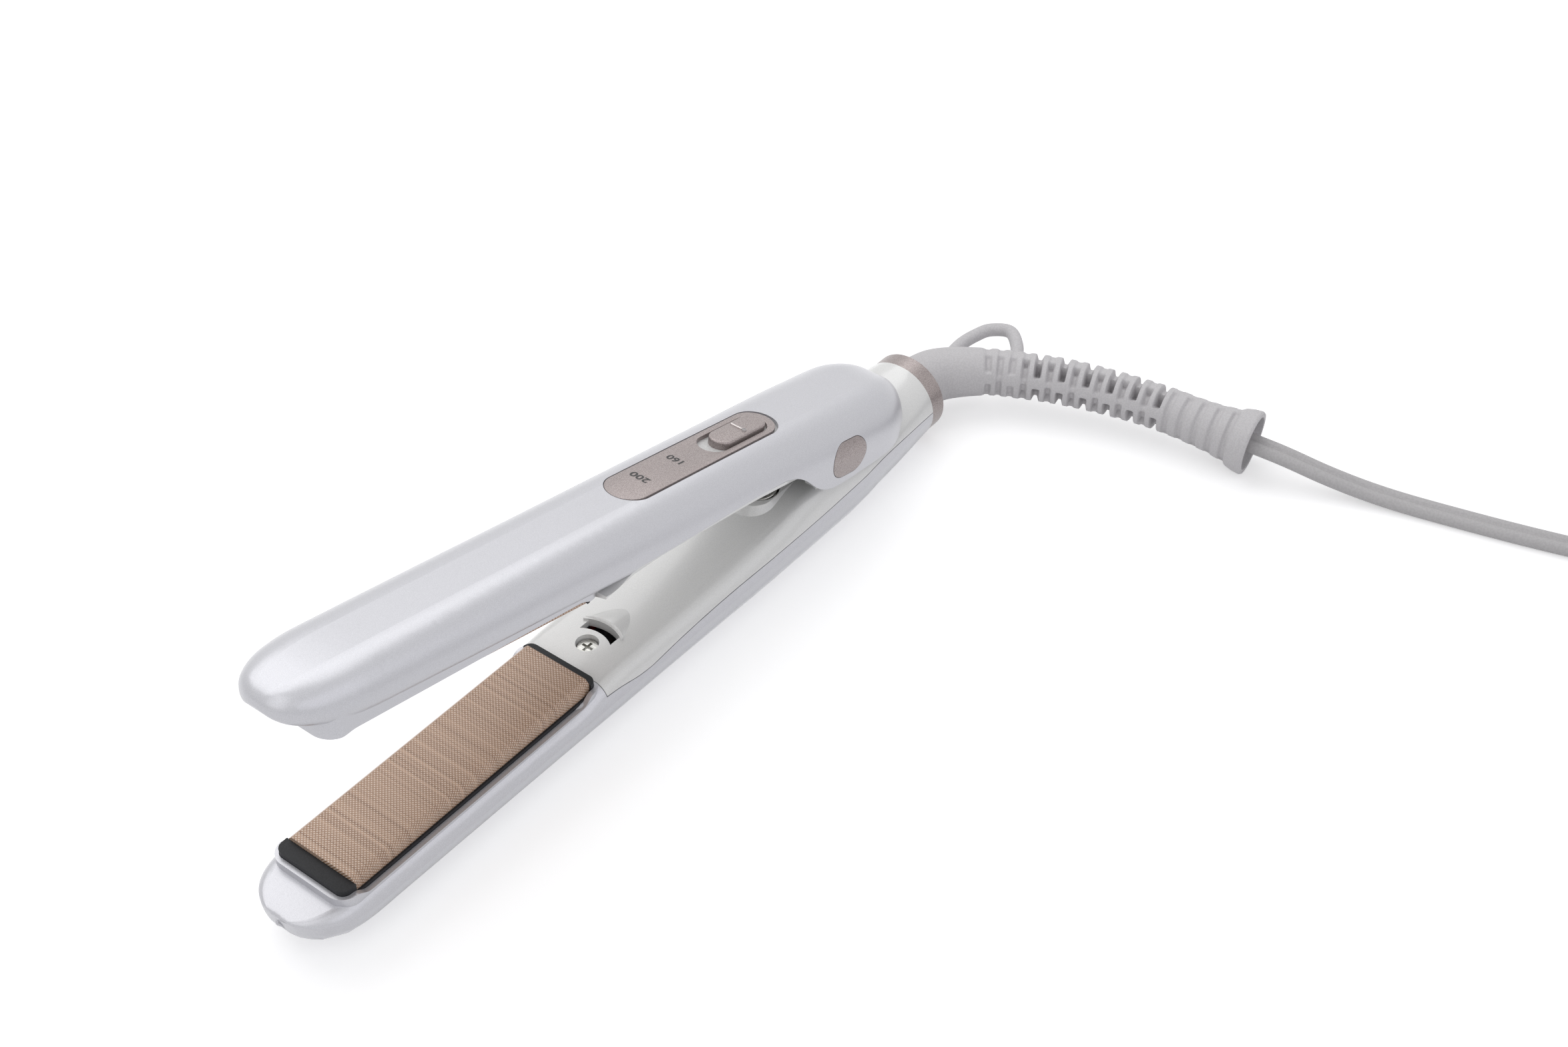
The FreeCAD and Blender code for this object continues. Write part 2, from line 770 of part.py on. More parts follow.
def lower_seam():
    """The side profile of all that the lower cover takes: from its front edge back to the ring."""
    start = size("cover_start")
    curve = side_curve(LOWER, "lower_seam")
    first = curve.StartPoint
    last = curve.EndPoint
    top = 40.0
    corner = Vector(start, 0, height(LOWER, 4.6))
    return [Part.LineSegment(Vector(last.x, 0, top), Vector(start, 0, top)).toShape(),
            Part.LineSegment(Vector(start, 0, top), corner).toShape(),
            s_curve(corner, first), curve.toShape(),
            Part.LineSegment(last, Vector(last.x, 0, top)).toShape()]


def curved_band(inner, outer, half_chord, z_low, z_high):
    """A band round the guide slot's centre, cut to a chord across the arm."""
    centre = Vector(size("slot_centre_x"), 0, z_low)
    band = Part.makeCylinder(outer, z_high - z_low, centre).cut(Part.makeCylinder(inner, z_high - z_low, centre))
    window = Part.makeBox(outer, 2 * half_chord, z_high - z_low, centre - Vector(0, half_chord, 0))
    return band.common(window)


def hinge_lugs():
    lugs = []
    x, z = size("hinge_x"), size("hinge_z")
    foot = size("lug_foot_half")
    width = size("lug_outer") - size("lug_inner")
    for start in (size("lug_inner"), -size("lug_outer")):
        disc = Part.makeCylinder(size("lug_radius"), width, Vector(x, start, z), ALONG_Y)
        corners = [Vector(x - foot, start, size("lug_foot_z")), Vector(x + foot, start, size("lug_foot_z")),
                   Vector(x + size("lug_radius"), start, z), Vector(x - size("lug_radius"), start, z)]
        foot_face = Part.Face(Part.makePolygon(corners + corners[:1]))
        bore = Part.makeCylinder(size("pin_radius") + size("bush_wall") + 0.01, width, Vector(x, start, z), ALONG_Y)
        lugs.append(disc.fuse(foot_face.extrude(Vector(0, width, 0))).cut(bore))
    return lugs


def u_outline(front, half, length, z):
    """The spring pocket's outline at one height: round in front, straight sides toward the hinge."""
    centre = front + half
    end = size("pocket_front") + length
    arc = Part.Arc(Vector(centre, half, z), Vector(front, 0, z), Vector(centre, -half, z)).toShape()
    return Part.Wire([arc, Part.LineSegment(Vector(centre, -half, z), Vector(end, -half, z)).toShape(),
                      Part.LineSegment(Vector(end, -half, z), Vector(end, half, z)).toShape(),
                      Part.LineSegment(Vector(end, half, z), Vector(centre, half, z)).toShape()])


def spring_pocket():
    low = size("pocket_rim_z") - size("pocket_root")
    draft = size("pocket_draft")
    root_draft = draft * size("pocket_root") / 2 - draft
    length = size("pocket_length")
    return Part.makeLoft([
        u_outline(size("pocket_front") - root_draft, size("pocket_half") + root_draft, length, low),
        u_outline(size("pocket_front") + draft, size("pocket_half") - draft, length, size("pocket_rim_z"))], True, True)


def behind_plate(side):
    """The room behind the plate, which the cover fills and the casing leaves free."""
    low, high = sorted((height(side, 0), height(side, size("rim_root") + 0.5)))
    return Part.makeBox(14, 2 * well_half(), high - low, Vector(size("cover_start"), -well_half(), low))


def make_lower_shells():
    outer = lower_outline().fuse(plate_rim(LOWER))
    hollow = cavity(LOWER, [size("lower_ring_at") - 6, size("lower_ring_at") + 0.5])
    seam = profile_solid(lower_seam())
    gap = size("lower_cover_gap")
    casing = outer.cut(seam).cut(hollow).cut(plate_well(LOWER)).cut(behind_plate(LOWER))
    for one in casing_posts(LOWER, outer):
        casing = casing.fuse(one)
    foot = size("spring_foot") - 0.05
    seat = Part.makeCylinder(size("spring_seat_radius"), foot - 1.0, Vector(size("spring_x"), 0, 1.0))
    peg = Part.makeCylinder(size("spring_peg_radius"), size("spring_peg_height"), Vector(size("spring_x"), 0, foot))
    base_half = size("base_half")
    below = Part.makeBox(size("base_length"), 2 * base_half, 1, Vector(size("base_front"), -base_half, -1))
    casing = casing.fuse(seat).fuse(peg).cut(below)
    free_shape("lower_casing", casing.removeSplitter())

    cover = outer.common(seam.translated(Vector(0.0, 0, gap))).cut(hollow)
    cover = cover.cut(Part.makeBox(gap, 60, 60, Vector(size("cover_start"), -30, 0)))
    cover = cover.fuse(spring_pocket().cut(hollow))
    for lug in hinge_lugs():
        cover = cover.fuse(lug)
    surface = size("lower_middle_inner")
    boss = screw_bore(LOWER, size("cover_screw_x"), size("screw_boss_radius") + 0.4, surface + 0.4, cover_seat())
    rim_inner = size("slot_inner_radius") + size("slot_width")
    rim = curved_band(rim_inner, rim_inner + size("slot_rim_width"), size("slot_half_chord") + 1,
                      height(LOWER, surface + 0.8), height(LOWER, surface - size("slot_rim_height")))
    cover = cover.fuse(boss).fuse(rim)
    slot = curved_band(size("slot_inner_radius"), rim_inner, size("slot_half_chord"),
                       height(LOWER, surface + 3), height(LOWER, -1.0))
    hole_x = size("spring_x")
    spring_hole = Part.makeCylinder(size("pocket_hole_half"), 40, Vector(hole_x, 0, size("spring_foot")))
    head_seat = size("screw_head_depth") + size("screw_head_height")
    cover = cover.cut(screw_bore(LOWER, size("cover_screw_x"), size("screw_bore_radius"), -1.0, head_seat + 0.02))
    cover = cover.cut(screw_bore(LOWER, size("cover_screw_x"), size("screw_hole_radius"), 0.0, cover_seat() + 1))
    cover = cover.cut(slot).cut(spring_hole)
    free_shape("lower_cover", cover.removeSplitter())


def upper_edge():
    """The side profile of all that lies under the upper casing's rear edge and its ears."""
    start = size("cover_start")
    low = height(UPPER, -12.0)
    curve = side_curve(UPPER, "upper_seam")
    rear = side_curve(UPPER, "ear_edge")
    corner = Vector(start, 0, height(UPPER, 3.2))
    return [Part.LineSegment(Vector(start, 0, low), corner).toShape(), s_curve(corner, curve.StartPoint),
            curve.toShape(), s_curve(curve.EndPoint, rear.StartPoint), rear.toShape(),
            Part.LineSegment(rear.EndPoint, Vector(rear.EndPoint.x, 0, low)).toShape(),
            Part.LineSegment(Vector(rear.EndPoint.x, 0, low), Vector(start, 0, low)).toShape()]


def opened(shape, back=False):
    """The shape turned about the hinge from closed to open, or back again."""
    turned = shape.copy()
    angle = size("open_angle")
    turned.rotate(Vector(size("hinge_x"), 0, size("hinge_z")), ALONG_Y, -angle if back else angle)
    return turned


def switch_tilt():
    """The slight turn that lays the switch along the casing's rising back."""
    pivot = Vector(size("switch_pivot_x"), 0, height(UPPER, size("switch_plate_top")))
    return FreeCAD.Placement(Vector(), FreeCAD.Rotation(ALONG_Y, -size("switch_tilt")), pivot)


def badge_block(sign, start, edge):
    """The hinge badge's stadium, drawn outward from a distance across the arm and wider all round by an edge."""
    half_length = size("badge_length") / 2 + edge
    block = stadium_block(-half_length, half_length, size("badge_height") / 2 + edge, 0, size("badge_room"))
    block.rotate(Vector(), ALONG_X, -90 * sign)
    block.translate(Vector(size("hinge_x"), sign * start, size("hinge_z")))
    return block


def make_upper_casing():
    outer = upper_outline().fuse(plate_rim(UPPER))
    dome_rear = size("dome_reach") - size("casing_wall")
    hollow = cavity(UPPER, [dome_rear - share * size("dome_length") for share in (0.9, 0.65, 0.42, 0.25, 0.13, 0.06)])
    under_ears = Part.makeBox(80, 2 * (size("upper_hinge_half") - size("casing_wall")), 12,
                              Vector(40, -(size("upper_hinge_half") - size("casing_wall")), height(UPPER, -4.0)))
    edge = profile_solid(upper_edge())
    casing = outer.cut(edge).cut(hollow)
    casing = casing.cut(plate_well(UPPER)).cut(under_ears.common(opened(under_ears, True)))
    for sign in (-1, 1):
        pad_block = badge_block(sign, size("lug_outer") + size("ear_pad_gap"), size("ear_pad_edge"))
        casing = casing.fuse(pad_block.common(outer).cut(edge))
    casing = casing.cut(opened(lower_outline(size("dome_clearance")), True))
    casing = casing.cut(behind_plate(UPPER))
    for one in casing_posts(UPPER, outer):
        casing = casing.fuse(one)
    plate_top = height(UPPER, size("switch_plate_top"))
    bed = plate_top - size("switch_plate_thickness")
    gap = size("switch_plate_gap")
    recess = stadium_block(size("switch_plate_front") - gap, size("switch_plate_rear") + gap,
                           size("switch_plate_half") + gap, bed, bed + 6)
    reach = size("switch_travel") + size("shutter_overlap") + size("shutter_end_gap")
    window_half = size("shutter_half") + size("shutter_side_gap")
    window = Part.makeBox(size("switch_slot_rear") - size("switch_slot_front") + 2 * reach, 2 * window_half,
                          size("shutter_room"), Vector(size("switch_slot_front") - reach, -window_half,
                                                       bed + size("seam_gap") - size("shutter_room")))
    recess.Placement = switch_tilt()
    window.Placement = switch_tilt()
    casing = casing.cut(recess).cut(window)
    for sign in (-1, 1):
        casing = casing.cut(badge_block(sign, size("badge_inner"), size("badge_gap")))
    pin_hole = Part.makeCylinder(size("pin_radius") + 0.02, 40, Vector(size("hinge_x"), -20, size("hinge_z")), ALONG_Y)
    casing = casing.cut(pin_hole)
    board_top = height(UPPER, size("board_depth") + size("board_thickness"))
    for y in (-size("board_post_y"), size("board_post_y")):
        stud = Part.makeCylinder(size("board_post_radius"), 12, Vector(size("board_post_x"), y, board_top))
        bore = Part.makeCylinder(size("board_screw_radius") + size("board_screw_gap"),
                                 size("board_screw_length") + 0.2, Vector(size("board_post_x"), y, board_top))
        casing = casing.fuse(stud.common(outer).cut(recess)).cut(bore)
    return casing.removeSplitter()


def stadium_block(x_start, x_end, half, z_low, z_high):
    middle = Part.makeBox(x_end - x_start - 2 * half, 2 * half, z_high - z_low, Vector(x_start + half, -half, z_low))
    ends = [Part.makeCylinder(half, z_high - z_low, Vector(x, 0, z_low)) for x in (x_start + half, x_end - half)]
    return middle.multiFuse(ends).removeSplitter()


def cover_section(at, inset, rise):
    """The upper cover across the arm: a narrow flat, slanted flanks, and upright sides inside the casing."""
    flat = through(profile_points("upper_cover_flat"), at) - inset
    face = height(UPPER, through(profile_points("upper_cover_face"), at) + rise)
    start = (size("cover_start"), size("gasket_side_depth"))
    side_depth = through([start] + profile_points("upper_seam"), at) - size("upper_cover_lip") + rise
    half = section_sizes(UPPER, at)[2] - size("upper_cover_inset") - inset
    side = max(height(UPPER, side_depth), face + 0.2)
    top = height(UPPER, 12.0)
    corners = [Vector(at, -half, top), Vector(at, -half, side), Vector(at, -flat, face),
               Vector(at, flat, face), Vector(at, half, side), Vector(at, half, top)]
    return Part.makePolygon(corners + corners[:1])


def make_upper_cover():
    gap = size("upper_cover_gap")
    places = run_places(size("cover_start") + gap, size("upper_cover_end"), 8.0)
    wall = size("upper_cover_wall")
    solid = Part.makeLoft([cover_section(at, 0.0, 0.0) for at in places], True, True)
    hollow = Part.makeLoft([cover_section(at, wall, wall) for at in
                            run_places(size("cover_start") + wall, size("upper_cover_end") + 1, 8.0)], True, True)
    cover = solid.common(profile_solid(upper_edge()).translated(Vector(0, 0, -gap))).cut(hollow)
    shelf = Part.makeBox(size("shelf_end") - size("upper_cover_end") + 3, 2 * size("shelf_half"),
                         size("shelf_thickness"), Vector(size("upper_cover_end") - 3, -size("shelf_half"),
                                                         height(UPPER, size("shelf_depth"))))
    surface = through(profile_points("upper_cover_face"), size("cover_screw_x"))
    boss = screw_bore(UPPER, size("cover_screw_x"), size("screw_boss_radius") + 0.4, surface + 0.4, cover_seat())
    inner = size("slot_inner_radius") + size("tongue_gap")
    outer = size("slot_inner_radius") + size("slot_width") - size("tongue_gap")
    tongue = curved_band(inner, outer, size("tongue_half_chord"),
                         height(UPPER, surface + 0.3 - size("tongue_reach")), height(UPPER, surface + 0.3))
    head_seat = size("screw_head_depth") + size("screw_head_height")
    cover = cover.fuse(shelf).fuse(boss).fuse(tongue)
    cover = cover.cut(screw_bore(UPPER, size("cover_screw_x"), size("screw_bore_radius"), -1.0, head_seat + 0.02))
    cover = cover.cut(screw_bore(UPPER, size("cover_screw_x"), size("screw_hole_radius"), 0.0, cover_seat() + 1))
    return free_shape("upper_cover", cover.removeSplitter())


# Heating pieces, alike in both arms

def level(side, depth):
    return "plate_plane %s (%s)" % ("-" if side == LOWER else "+", depth)


def make_plate(side):
    body = new_body(arm_name(side) + "_plate")
    sketch = new_sketch(body, "YZ", "plate_rear - plate_length")
    flat = "(plate_half - plate_bevel)"
    inside = "(plate_half - plate_skirt)"
    right = [(flat, level(side, "0")), ("plate_half", level(side, "plate_bevel")),
             ("plate_half", level(side, "plate_depth")), (inside, level(side, "plate_depth")),
             (inside, level(side, "plate_web"))]
    left = [("-1 * " + y, z) for y, z in reversed(right)]
    draw_polygon(sketch, right + left)
    pad(body, sketch, "plate_length")


def make_gasket(side):
    body = new_body(arm_name(side) + "_gasket")
    half = "(plate_half + gasket_side)"
    front, rear = "plate_rear - plate_length", "plate_rear"
    sketch = new_sketch(body, "XY", level(side, "gasket_seat - 0.02"))
    draw_box(sketch, front + " - gasket_front_bar", rear + " + gasket_rear_bar", "-1 * " + half, half)
    pad(body, sketch, "gasket_seat - 0.02 - gasket_bar_depth", side == UPPER)
    round_edges(body, ALONG_Z, "gasket_corner")
    hole = new_sketch(body, "XY", level(side, "gasket_seat"))
    inside = "(plate_half + gasket_fit)"
    draw_box(hole, front + " - gasket_fit", rear + " + gasket_fit", "-1 * " + inside, inside)
    pocket(body, hole, "40", centred=True)
    notch = new_sketch(body, "XY", level(side, "gasket_bar_depth"))
    wide = "(plate_half + 2 * gasket_side)"
    draw_box(notch, front, rear, "-1 * " + wide, wide)
    pocket(body, notch, "gasket_side_depth - gasket_bar_depth", side == UPPER)


def make_slab(label, side, depth, thickness, start, end, half):
    """A flat slab whose face toward the plate lies at a depth."""
    body = new_body(label)
    sketch = new_sketch(body, "XY", level(side, depth))
    draw_box(sketch, start, end, "-1 * (%s)" % half, half)
    pad(body, sketch, thickness, side == LOWER)


MIDDLE = "plate_rear - plate_length / 2"


def make_heater_stack(side):
    arm = arm_name(side)
    make_slab(arm + "_heater", side, "plate_web + plate_fit", "heater_thickness",
              MIDDLE + " - heater_length / 2", MIDDLE + " + heater_length / 2", "heater_half")
    make_slab(arm + "_heater_clamp", side, "plate_web + 2 * plate_fit + heater_thickness", "clamp_thickness",
              MIDDLE + " - clamp_length / 2", MIDDLE + " + clamp_length / 2", "clamp_half")
    make_slab(arm + "_plate_carrier", side, "plate_depth + gasket_fit", "carrier_thickness",
              "plate_rear - plate_length + carrier_inset", "plate_rear - carrier_inset",
              "plate_half + gasket_side + gasket_fit - ledge_width - carrier_side_gap")
    holes = new_sketch(pieces[arm + "_plate_carrier"], "XY", level(side, "plate_depth"))
    for sign in ("-1 * ", ""):
        draw_circle(holes, "lead_hole_x", sign + "lead_hole_y", "lead_hole_radius")
    pocket(pieces[arm + "_plate_carrier"], holes, "20", centred=True)
    body = new_body(arm + "_cushions")
    sketch = new_sketch(body, "XY", level(side, "plate_depth + 2 * gasket_fit + carrier_thickness"))
    for sign in ("-", "+"):
        draw_circle(sketch, "%s %s cushion_spread / 2" % (MIDDLE, sign), "0", "cushion_radius")
    pad(body, sketch, "cushion_height", side == LOWER)


def make_cover_screw(side):
    body = new_body(arm_name(side) + "_cover_screw")
    sketch = new_sketch(body, "XZ")
    sketch.setExpression("AttachmentOffset.Base.x", bound("cover_screw_x"))
    head_end = "screw_head_depth + screw_head_height"
    draw_polygon(sketch, [("0", level(side, "screw_head_depth")), ("screw_head_radius", level(side, "screw_head_depth")),
                          ("screw_head_radius", level(side, head_end)), ("screw_shank_radius", level(side, head_end)),
                          ("screw_shank_radius", level(side, head_end + " + screw_length")),
                          ("0", level(side, head_end + " + screw_length"))])
    revolve(body, sketch, "V_Axis")
    cross = new_sketch(body, "XY", level(side, "screw_head_depth"))
    long, thin = "recess_arm", "recess_half"
    corners = [(thin, thin), (thin, long), ("-" + thin, long), ("-" + thin, thin), ("-" + long, thin),
               ("-" + long, "-" + thin), ("-" + thin, "-" + thin), ("-" + thin, "-" + long), (thin, "-" + long),
               (thin, "-" + thin), (long, "-" + thin), (long, thin)]
    corners = [tuple("-1 * " + part[1:] if part[0] == "-" else part for part in corner) for corner in corners]
    draw_polygon(cross, [("cover_screw_x + " + x, y) for x, y in corners])
    pocket(body, cross, "screw_recess", side == UPPER)


def make_rod(label, side, x, y, depth, radius, length):
    """A plain rod along the arm, such as a fuse or a sensor."""
    body = new_body(label)
    sketch = new_sketch(body, "YZ", x)
    draw_circle(sketch, y, level(side, depth), radius)
    pad(body, sketch, length, centred=True)


def make_box_on_board(label, x, half, length, tall):
    body = new_body(label)
    sketch = new_sketch(body, "XY", level(UPPER, "board_depth + board_thickness"))
    draw_box(sketch, "%s - %s / 2" % (x, length), "%s + %s / 2" % (x, length), "-1 * " + half, half)
    pad(body, sketch, tall)
    return body


# Hinge, ring and swivel

def axis_sketch(body):
    """A sketch whose level axis is the ring's axis."""
    sketch = new_sketch(body, "XZ")
    sketch.setExpression("AttachmentOffset.Base.y", bound("ring_axis_z"))
    return sketch


def make_turned_on_axis(label, *outlines):
    body = new_body(label)
    sketch = axis_sketch(body)
    for outline in outlines:
        draw_polygon(sketch, outline)
    revolve(body, sketch, "H_Axis")


FLANGE_END = "lower_ring_at - spigot_length - flange_gap"
FLANGE_START = FLANGE_END + " - flange_thickness"


def tube_outline(start, end, bore, radius):
    return [(start, bore), (end, bore), (end, radius), (start, radius)]


def make_barrel_pieces():
    front = "lower_ring_at + seam_gap"
    make_turned_on_axis("barrel_ring", [
        ("lower_ring_at - spigot_length", "ring_bore"), ("arm_reach", "ring_bore"),
        ("arm_reach", "ring_radius - ring_edge"), ("arm_reach - ring_edge", "ring_radius"),
        (front, "ring_radius"), (front, "spigot_radius"), ("lower_ring_at - spigot_length", "spigot_radius")])
    collar_end = FLANGE_START + " - flange_gap"
    make_turned_on_axis("swivel_collar",
                        tube_outline(collar_end + " - collar_length", collar_end, "collar_bore", "collar_radius"))
    stem_start = FLANGE_START + " - stem_length"
    make_turned_on_axis("swivel_stem", [(stem_start, "0"), (FLANGE_START, "0"), (FLANGE_START, "stem_radius"),
                                        (stem_start, "stem_radius")])
    rings = []
    for number_along in (0, 1):
        start = "%s + slip_ring_start + %d * slip_ring_pitch" % (stem_start, number_along)
        rings.append(tube_outline(start, start + " + slip_ring_length", "stem_radius", "slip_ring_radius"))
    make_turned_on_axis("slip_rings", *rings)
    body = new_body("contact_fingers")
    sketch = axis_sketch(body)
    near = "slip_ring_radius + finger_gap"
    end = collar_end + " - collar_length"
    for number_along, sign in ((0, ""), (1, "-1 * ")):
        start = "%s + slip_ring_start + %d * slip_ring_pitch" % (stem_start, number_along)
        draw_box(sketch, start, end, "%s(%s)" % (sign, near), "%s(%s + finger_thickness)" % (sign, near))
    pad(body, sketch, "finger_width", centred=True)


def make_hinge_pieces():
    body = new_body("hinge_pin")
    sketch = new_sketch(body, "XZ")
    draw_circle(sketch, "hinge_x", "hinge_z", "pin_radius")
    pad(body, sketch, "2 * pin_half_length", centred=True)
    body = new_body("hinge_bushes")
    sketch = new_sketch(body, "XZ", "lug_inner")
    draw_circle(sketch, "hinge_x", "hinge_z", "pin_radius + bush_wall")
    draw_circle(sketch, "hinge_x", "hinge_z", "pin_radius + pin_clearance")
    mirror(body, pad(body, sketch, "lug_outer - lug_inner"), "XZ")
    skin = upper_outline(size("badge_rise"))
    badges = [badge_block(sign, size("badge_inner"), 0.0).common(skin) for sign in (-1, 1)]
    free_shape("hinge_badges", Part.makeCompound(badges))


# Switch

def make_switch_plate():
    body = new_body("switch_plate")
    sketch = new_sketch(body, "XY", level(UPPER, "switch_plate_top"))
    draw_stadium(sketch, "switch_plate_front", "switch_plate_rear", "switch_plate_half")
    pad(body, sketch, "switch_plate_thickness", True)
    slot = new_sketch(body, "XY", level(UPPER, "switch_plate_top"))
    draw_stadium(slot, "switch_slot_front", "switch_slot_rear", "switch_slot_half")
    pocket(body, slot, "20", centred=True)


SHUTTER_TOP = "switch_plate_top - switch_plate_thickness - shutter_gap"


def make_switch_knob():
    body = new_body("switch_knob")
    sketch = new_sketch(body, "XY", level(UPPER, SHUTTER_TOP))
    draw_stadium(sketch, "knob_front", "knob_rear", "knob_half")
    pad(body, sketch, "knob_top - (%s)" % SHUTTER_TOP)
    line = new_sketch(body, "XY", level(UPPER, "knob_top - knob_line_root"))
    draw_box(line, "knob_line_x - knob_line_width / 2", "knob_line_x + knob_line_width / 2",
             "knob_line_start", "knob_line_end")
    pad(body, line, "knob_line_height + knob_line_root")
    hole = new_sketch(body, "XY", level(UPPER, "knob_top + knob_line_height"))
    draw_circle(hole, "knob_line_x", "bead_y", "bead_radius + bead_fit")
    pocket(body, hole, "bead_radius + knob_line_height")
    body = new_body("knob_bead")
    bead = new_sketch(body, "XY", level(UPPER, "knob_top - bead_radius"))
    draw_circle(bead, "knob_line_x", "bead_y", "bead_radius")
    pad(body, bead, "bead_radius + knob_line_height")


def make_shutter():
    body = new_body("switch_shutter")
    sketch = new_sketch(body, "XY", level(UPPER, SHUTTER_TOP))
    draw_box(sketch, "switch_slot_front - shutter_overlap", "switch_slot_rear + switch_travel + shutter_overlap",
             "-1 * shutter_half", "shutter_half")
    pad(body, sketch, "shutter_thickness", True)
    tab = new_sketch(body, "XY", level(UPPER, SHUTTER_TOP + " - shutter_thickness / 2"))
    draw_box(tab, "slider_tab_x - slider_tab_length / 2", "slider_tab_x + slider_tab_length / 2",
             "-1 * slider_tab_half", "slider_tab_half")
    pad(body, tab, "slider_tab_reach + shutter_thickness / 2", True)


def make_board_pieces():
    body = new_body("circuit_board")
    sketch = new_sketch(body, "XY", level(UPPER, "board_depth"))
    draw_box(sketch, "board_front", "board_rear", "-1 * board_half", "board_half")
    for sign in ("-1 * ", ""):
        draw_circle(sketch, "board_post_x", sign + "board_post_y", "board_screw_radius + board_screw_gap")
    pad(body, sketch, "board_thickness")
    body = new_body("board_screws")
    sketch = new_sketch(body, "XY", level(UPPER, "board_depth"))
    draw_circle(sketch, "board_post_x", "board_post_y", "board_screw_head")
    head = pad(body, sketch, "board_screw_head_height", True)
    shank = new_sketch(body, "XY", level(UPPER, "board_depth"))
    draw_circle(shank, "board_post_x", "board_post_y", "board_screw_radius")
    stem = pad(body, shank, "board_thickness + board_screw_length")
    made = mirror(body, head, "XZ")
    made.Originals = [head, stem]
    doc.recompute()
    body = make_box_on_board("slide_switch", "slide_switch_x", "slide_switch_half", "slide_switch_length",
                             "slide_switch_height")
    groove = new_sketch(body, "XY", level(UPPER, "board_depth + board_thickness + slide_switch_height"))
    draw_box(groove, "slide_switch_x - groove_length / 2", "slide_switch_x + groove_length / 2",
             "-1 * groove_half", "groove_half")
    pocket(body, groove, "groove_depth")
    make_box_on_board("triac", "triac_x", "triac_half", "triac_length", "triac_height")
    make_box_on_board("capacitor", "capacitor_x", "capacitor_half", "capacitor_length", "capacitor_height")
    body = new_body("indicator_lamp")
    sketch = new_sketch(body, "XY", level(UPPER, "board_depth + board_thickness"))
    draw_circle(sketch, "lamp_x", "lamp_y", "lamp_radius")
    pad(body, sketch, "lamp_height")


# Tubes: cord, coil, spring, leads and the hanging loop

def rounded_route(points, share=0.45):
    """Straight runs joined by tangent arcs, each as large as its two runs allow."""
    edges, radii = [], []
    start = points[0]
    for before, corner, after in zip(points, points[1:], points[2:]):
        back, ahead = (before - corner), (after - corner)
        run = share * min(back.Length, ahead.Length)
        back.normalize()
        ahead.normalize()
        half_turn = (math.pi - back.getAngle(ahead)) / 2
        radius = run / math.tan(half_turn)
        first, last = corner + back * run, corner + ahead * run
        inward = (back + ahead).normalize()
        middle = corner + inward * (radius / math.cos(half_turn) - radius)
        edges.append(Part.LineSegment(start, first).toShape())
        edges.append(Part.Arc(first, middle, last).toShape())
        radii.append(radius)
        start = last
    edges.append(Part.LineSegment(start, points[-1]).toShape())
    return Part.Wire(edges), radii


def biarc(start, start_way, end, end_way):
    """Two tangent arcs from one point and direction to another."""
    span = end - start
    ways = start_way + end_way
    square = 2 * (1 - start_way.dot(end_way))
    reach = (-2 * span.dot(ways) + math.sqrt((2 * span.dot(ways)) ** 2 + 4 * square * span.dot(span))) / (2 * square)
    first, second = start + start_way * reach, end - end_way * reach
    joint = (first + second) * 0.5
    return [corner_arc(start, first, joint), corner_arc(joint, second, end)]


def corner_arc(start, corner, end):
    """The arc tangent to both legs of a corner with equal legs."""
    middle = (start + end) * 0.5
    toward = middle - corner
    distance = toward.Length
    leg = (start - corner).Length
    centre = corner + toward * (leg * leg / (distance * distance))
    radius = math.sqrt((centre - corner).Length ** 2 - leg * leg)
    return Part.Arc(start, centre + (corner - centre).normalize() * radius, end).toShape()


def winding_edges(place, stops):
    """Biarcs through a winding's places at the given stops, tangent to the winding at each."""
    step = 1e-4
    ways = [(place(stop + step) - place(stop - step)).normalize() for stop in stops]
    edges = []
    for i in range(len(stops) - 1):
        edges += biarc(place(stops[i]), ways[i], place(stops[i + 1]), ways[i + 1])
    return edges


def tube(wire, radius):
    start = wire.Edges[0]
    way = start.tangentAt(start.FirstParameter)
    ring = Part.Wire(Part.makeCircle(radius, wire.OrderedVertexes[0].Point, way))
    return wire.makePipeShell([ring], True, False)


def least_gap(place, stops, apart, diameter):
    points = [place(stop) for stop in stops]
    return min((a - b).Length for i, a in enumerate(points) for b in points[i + apart:]) - diameter


def spring_place(turn):
    rise = size("spring_top") - size("spring_foot") - size("spring_wire")
    angle = 2 * math.pi * turn
    return Vector(size("spring_x") + size("spring_radius") * math.cos(angle), size("spring_radius") * math.sin(angle),
                  size("spring_foot") + size("spring_wire") / 2 + rise * turn / size("spring_turns"))


def make_spring():
    stops = [quarter_turn / 4 for quarter_turn in range(int(4 * size("spring_turns")) + 1)]
    wire = Part.Wire(winding_edges(spring_place, stops))
    free_shape("opening_spring", tube(wire, size("spring_wire") / 2))
    fine = [stop / 24 for stop in range(int(24 * size("spring_turns")) + 1)]
    print("spring, least gap between curls: %.2f" % least_gap(spring_place, fine, 12, size("spring_wire")))


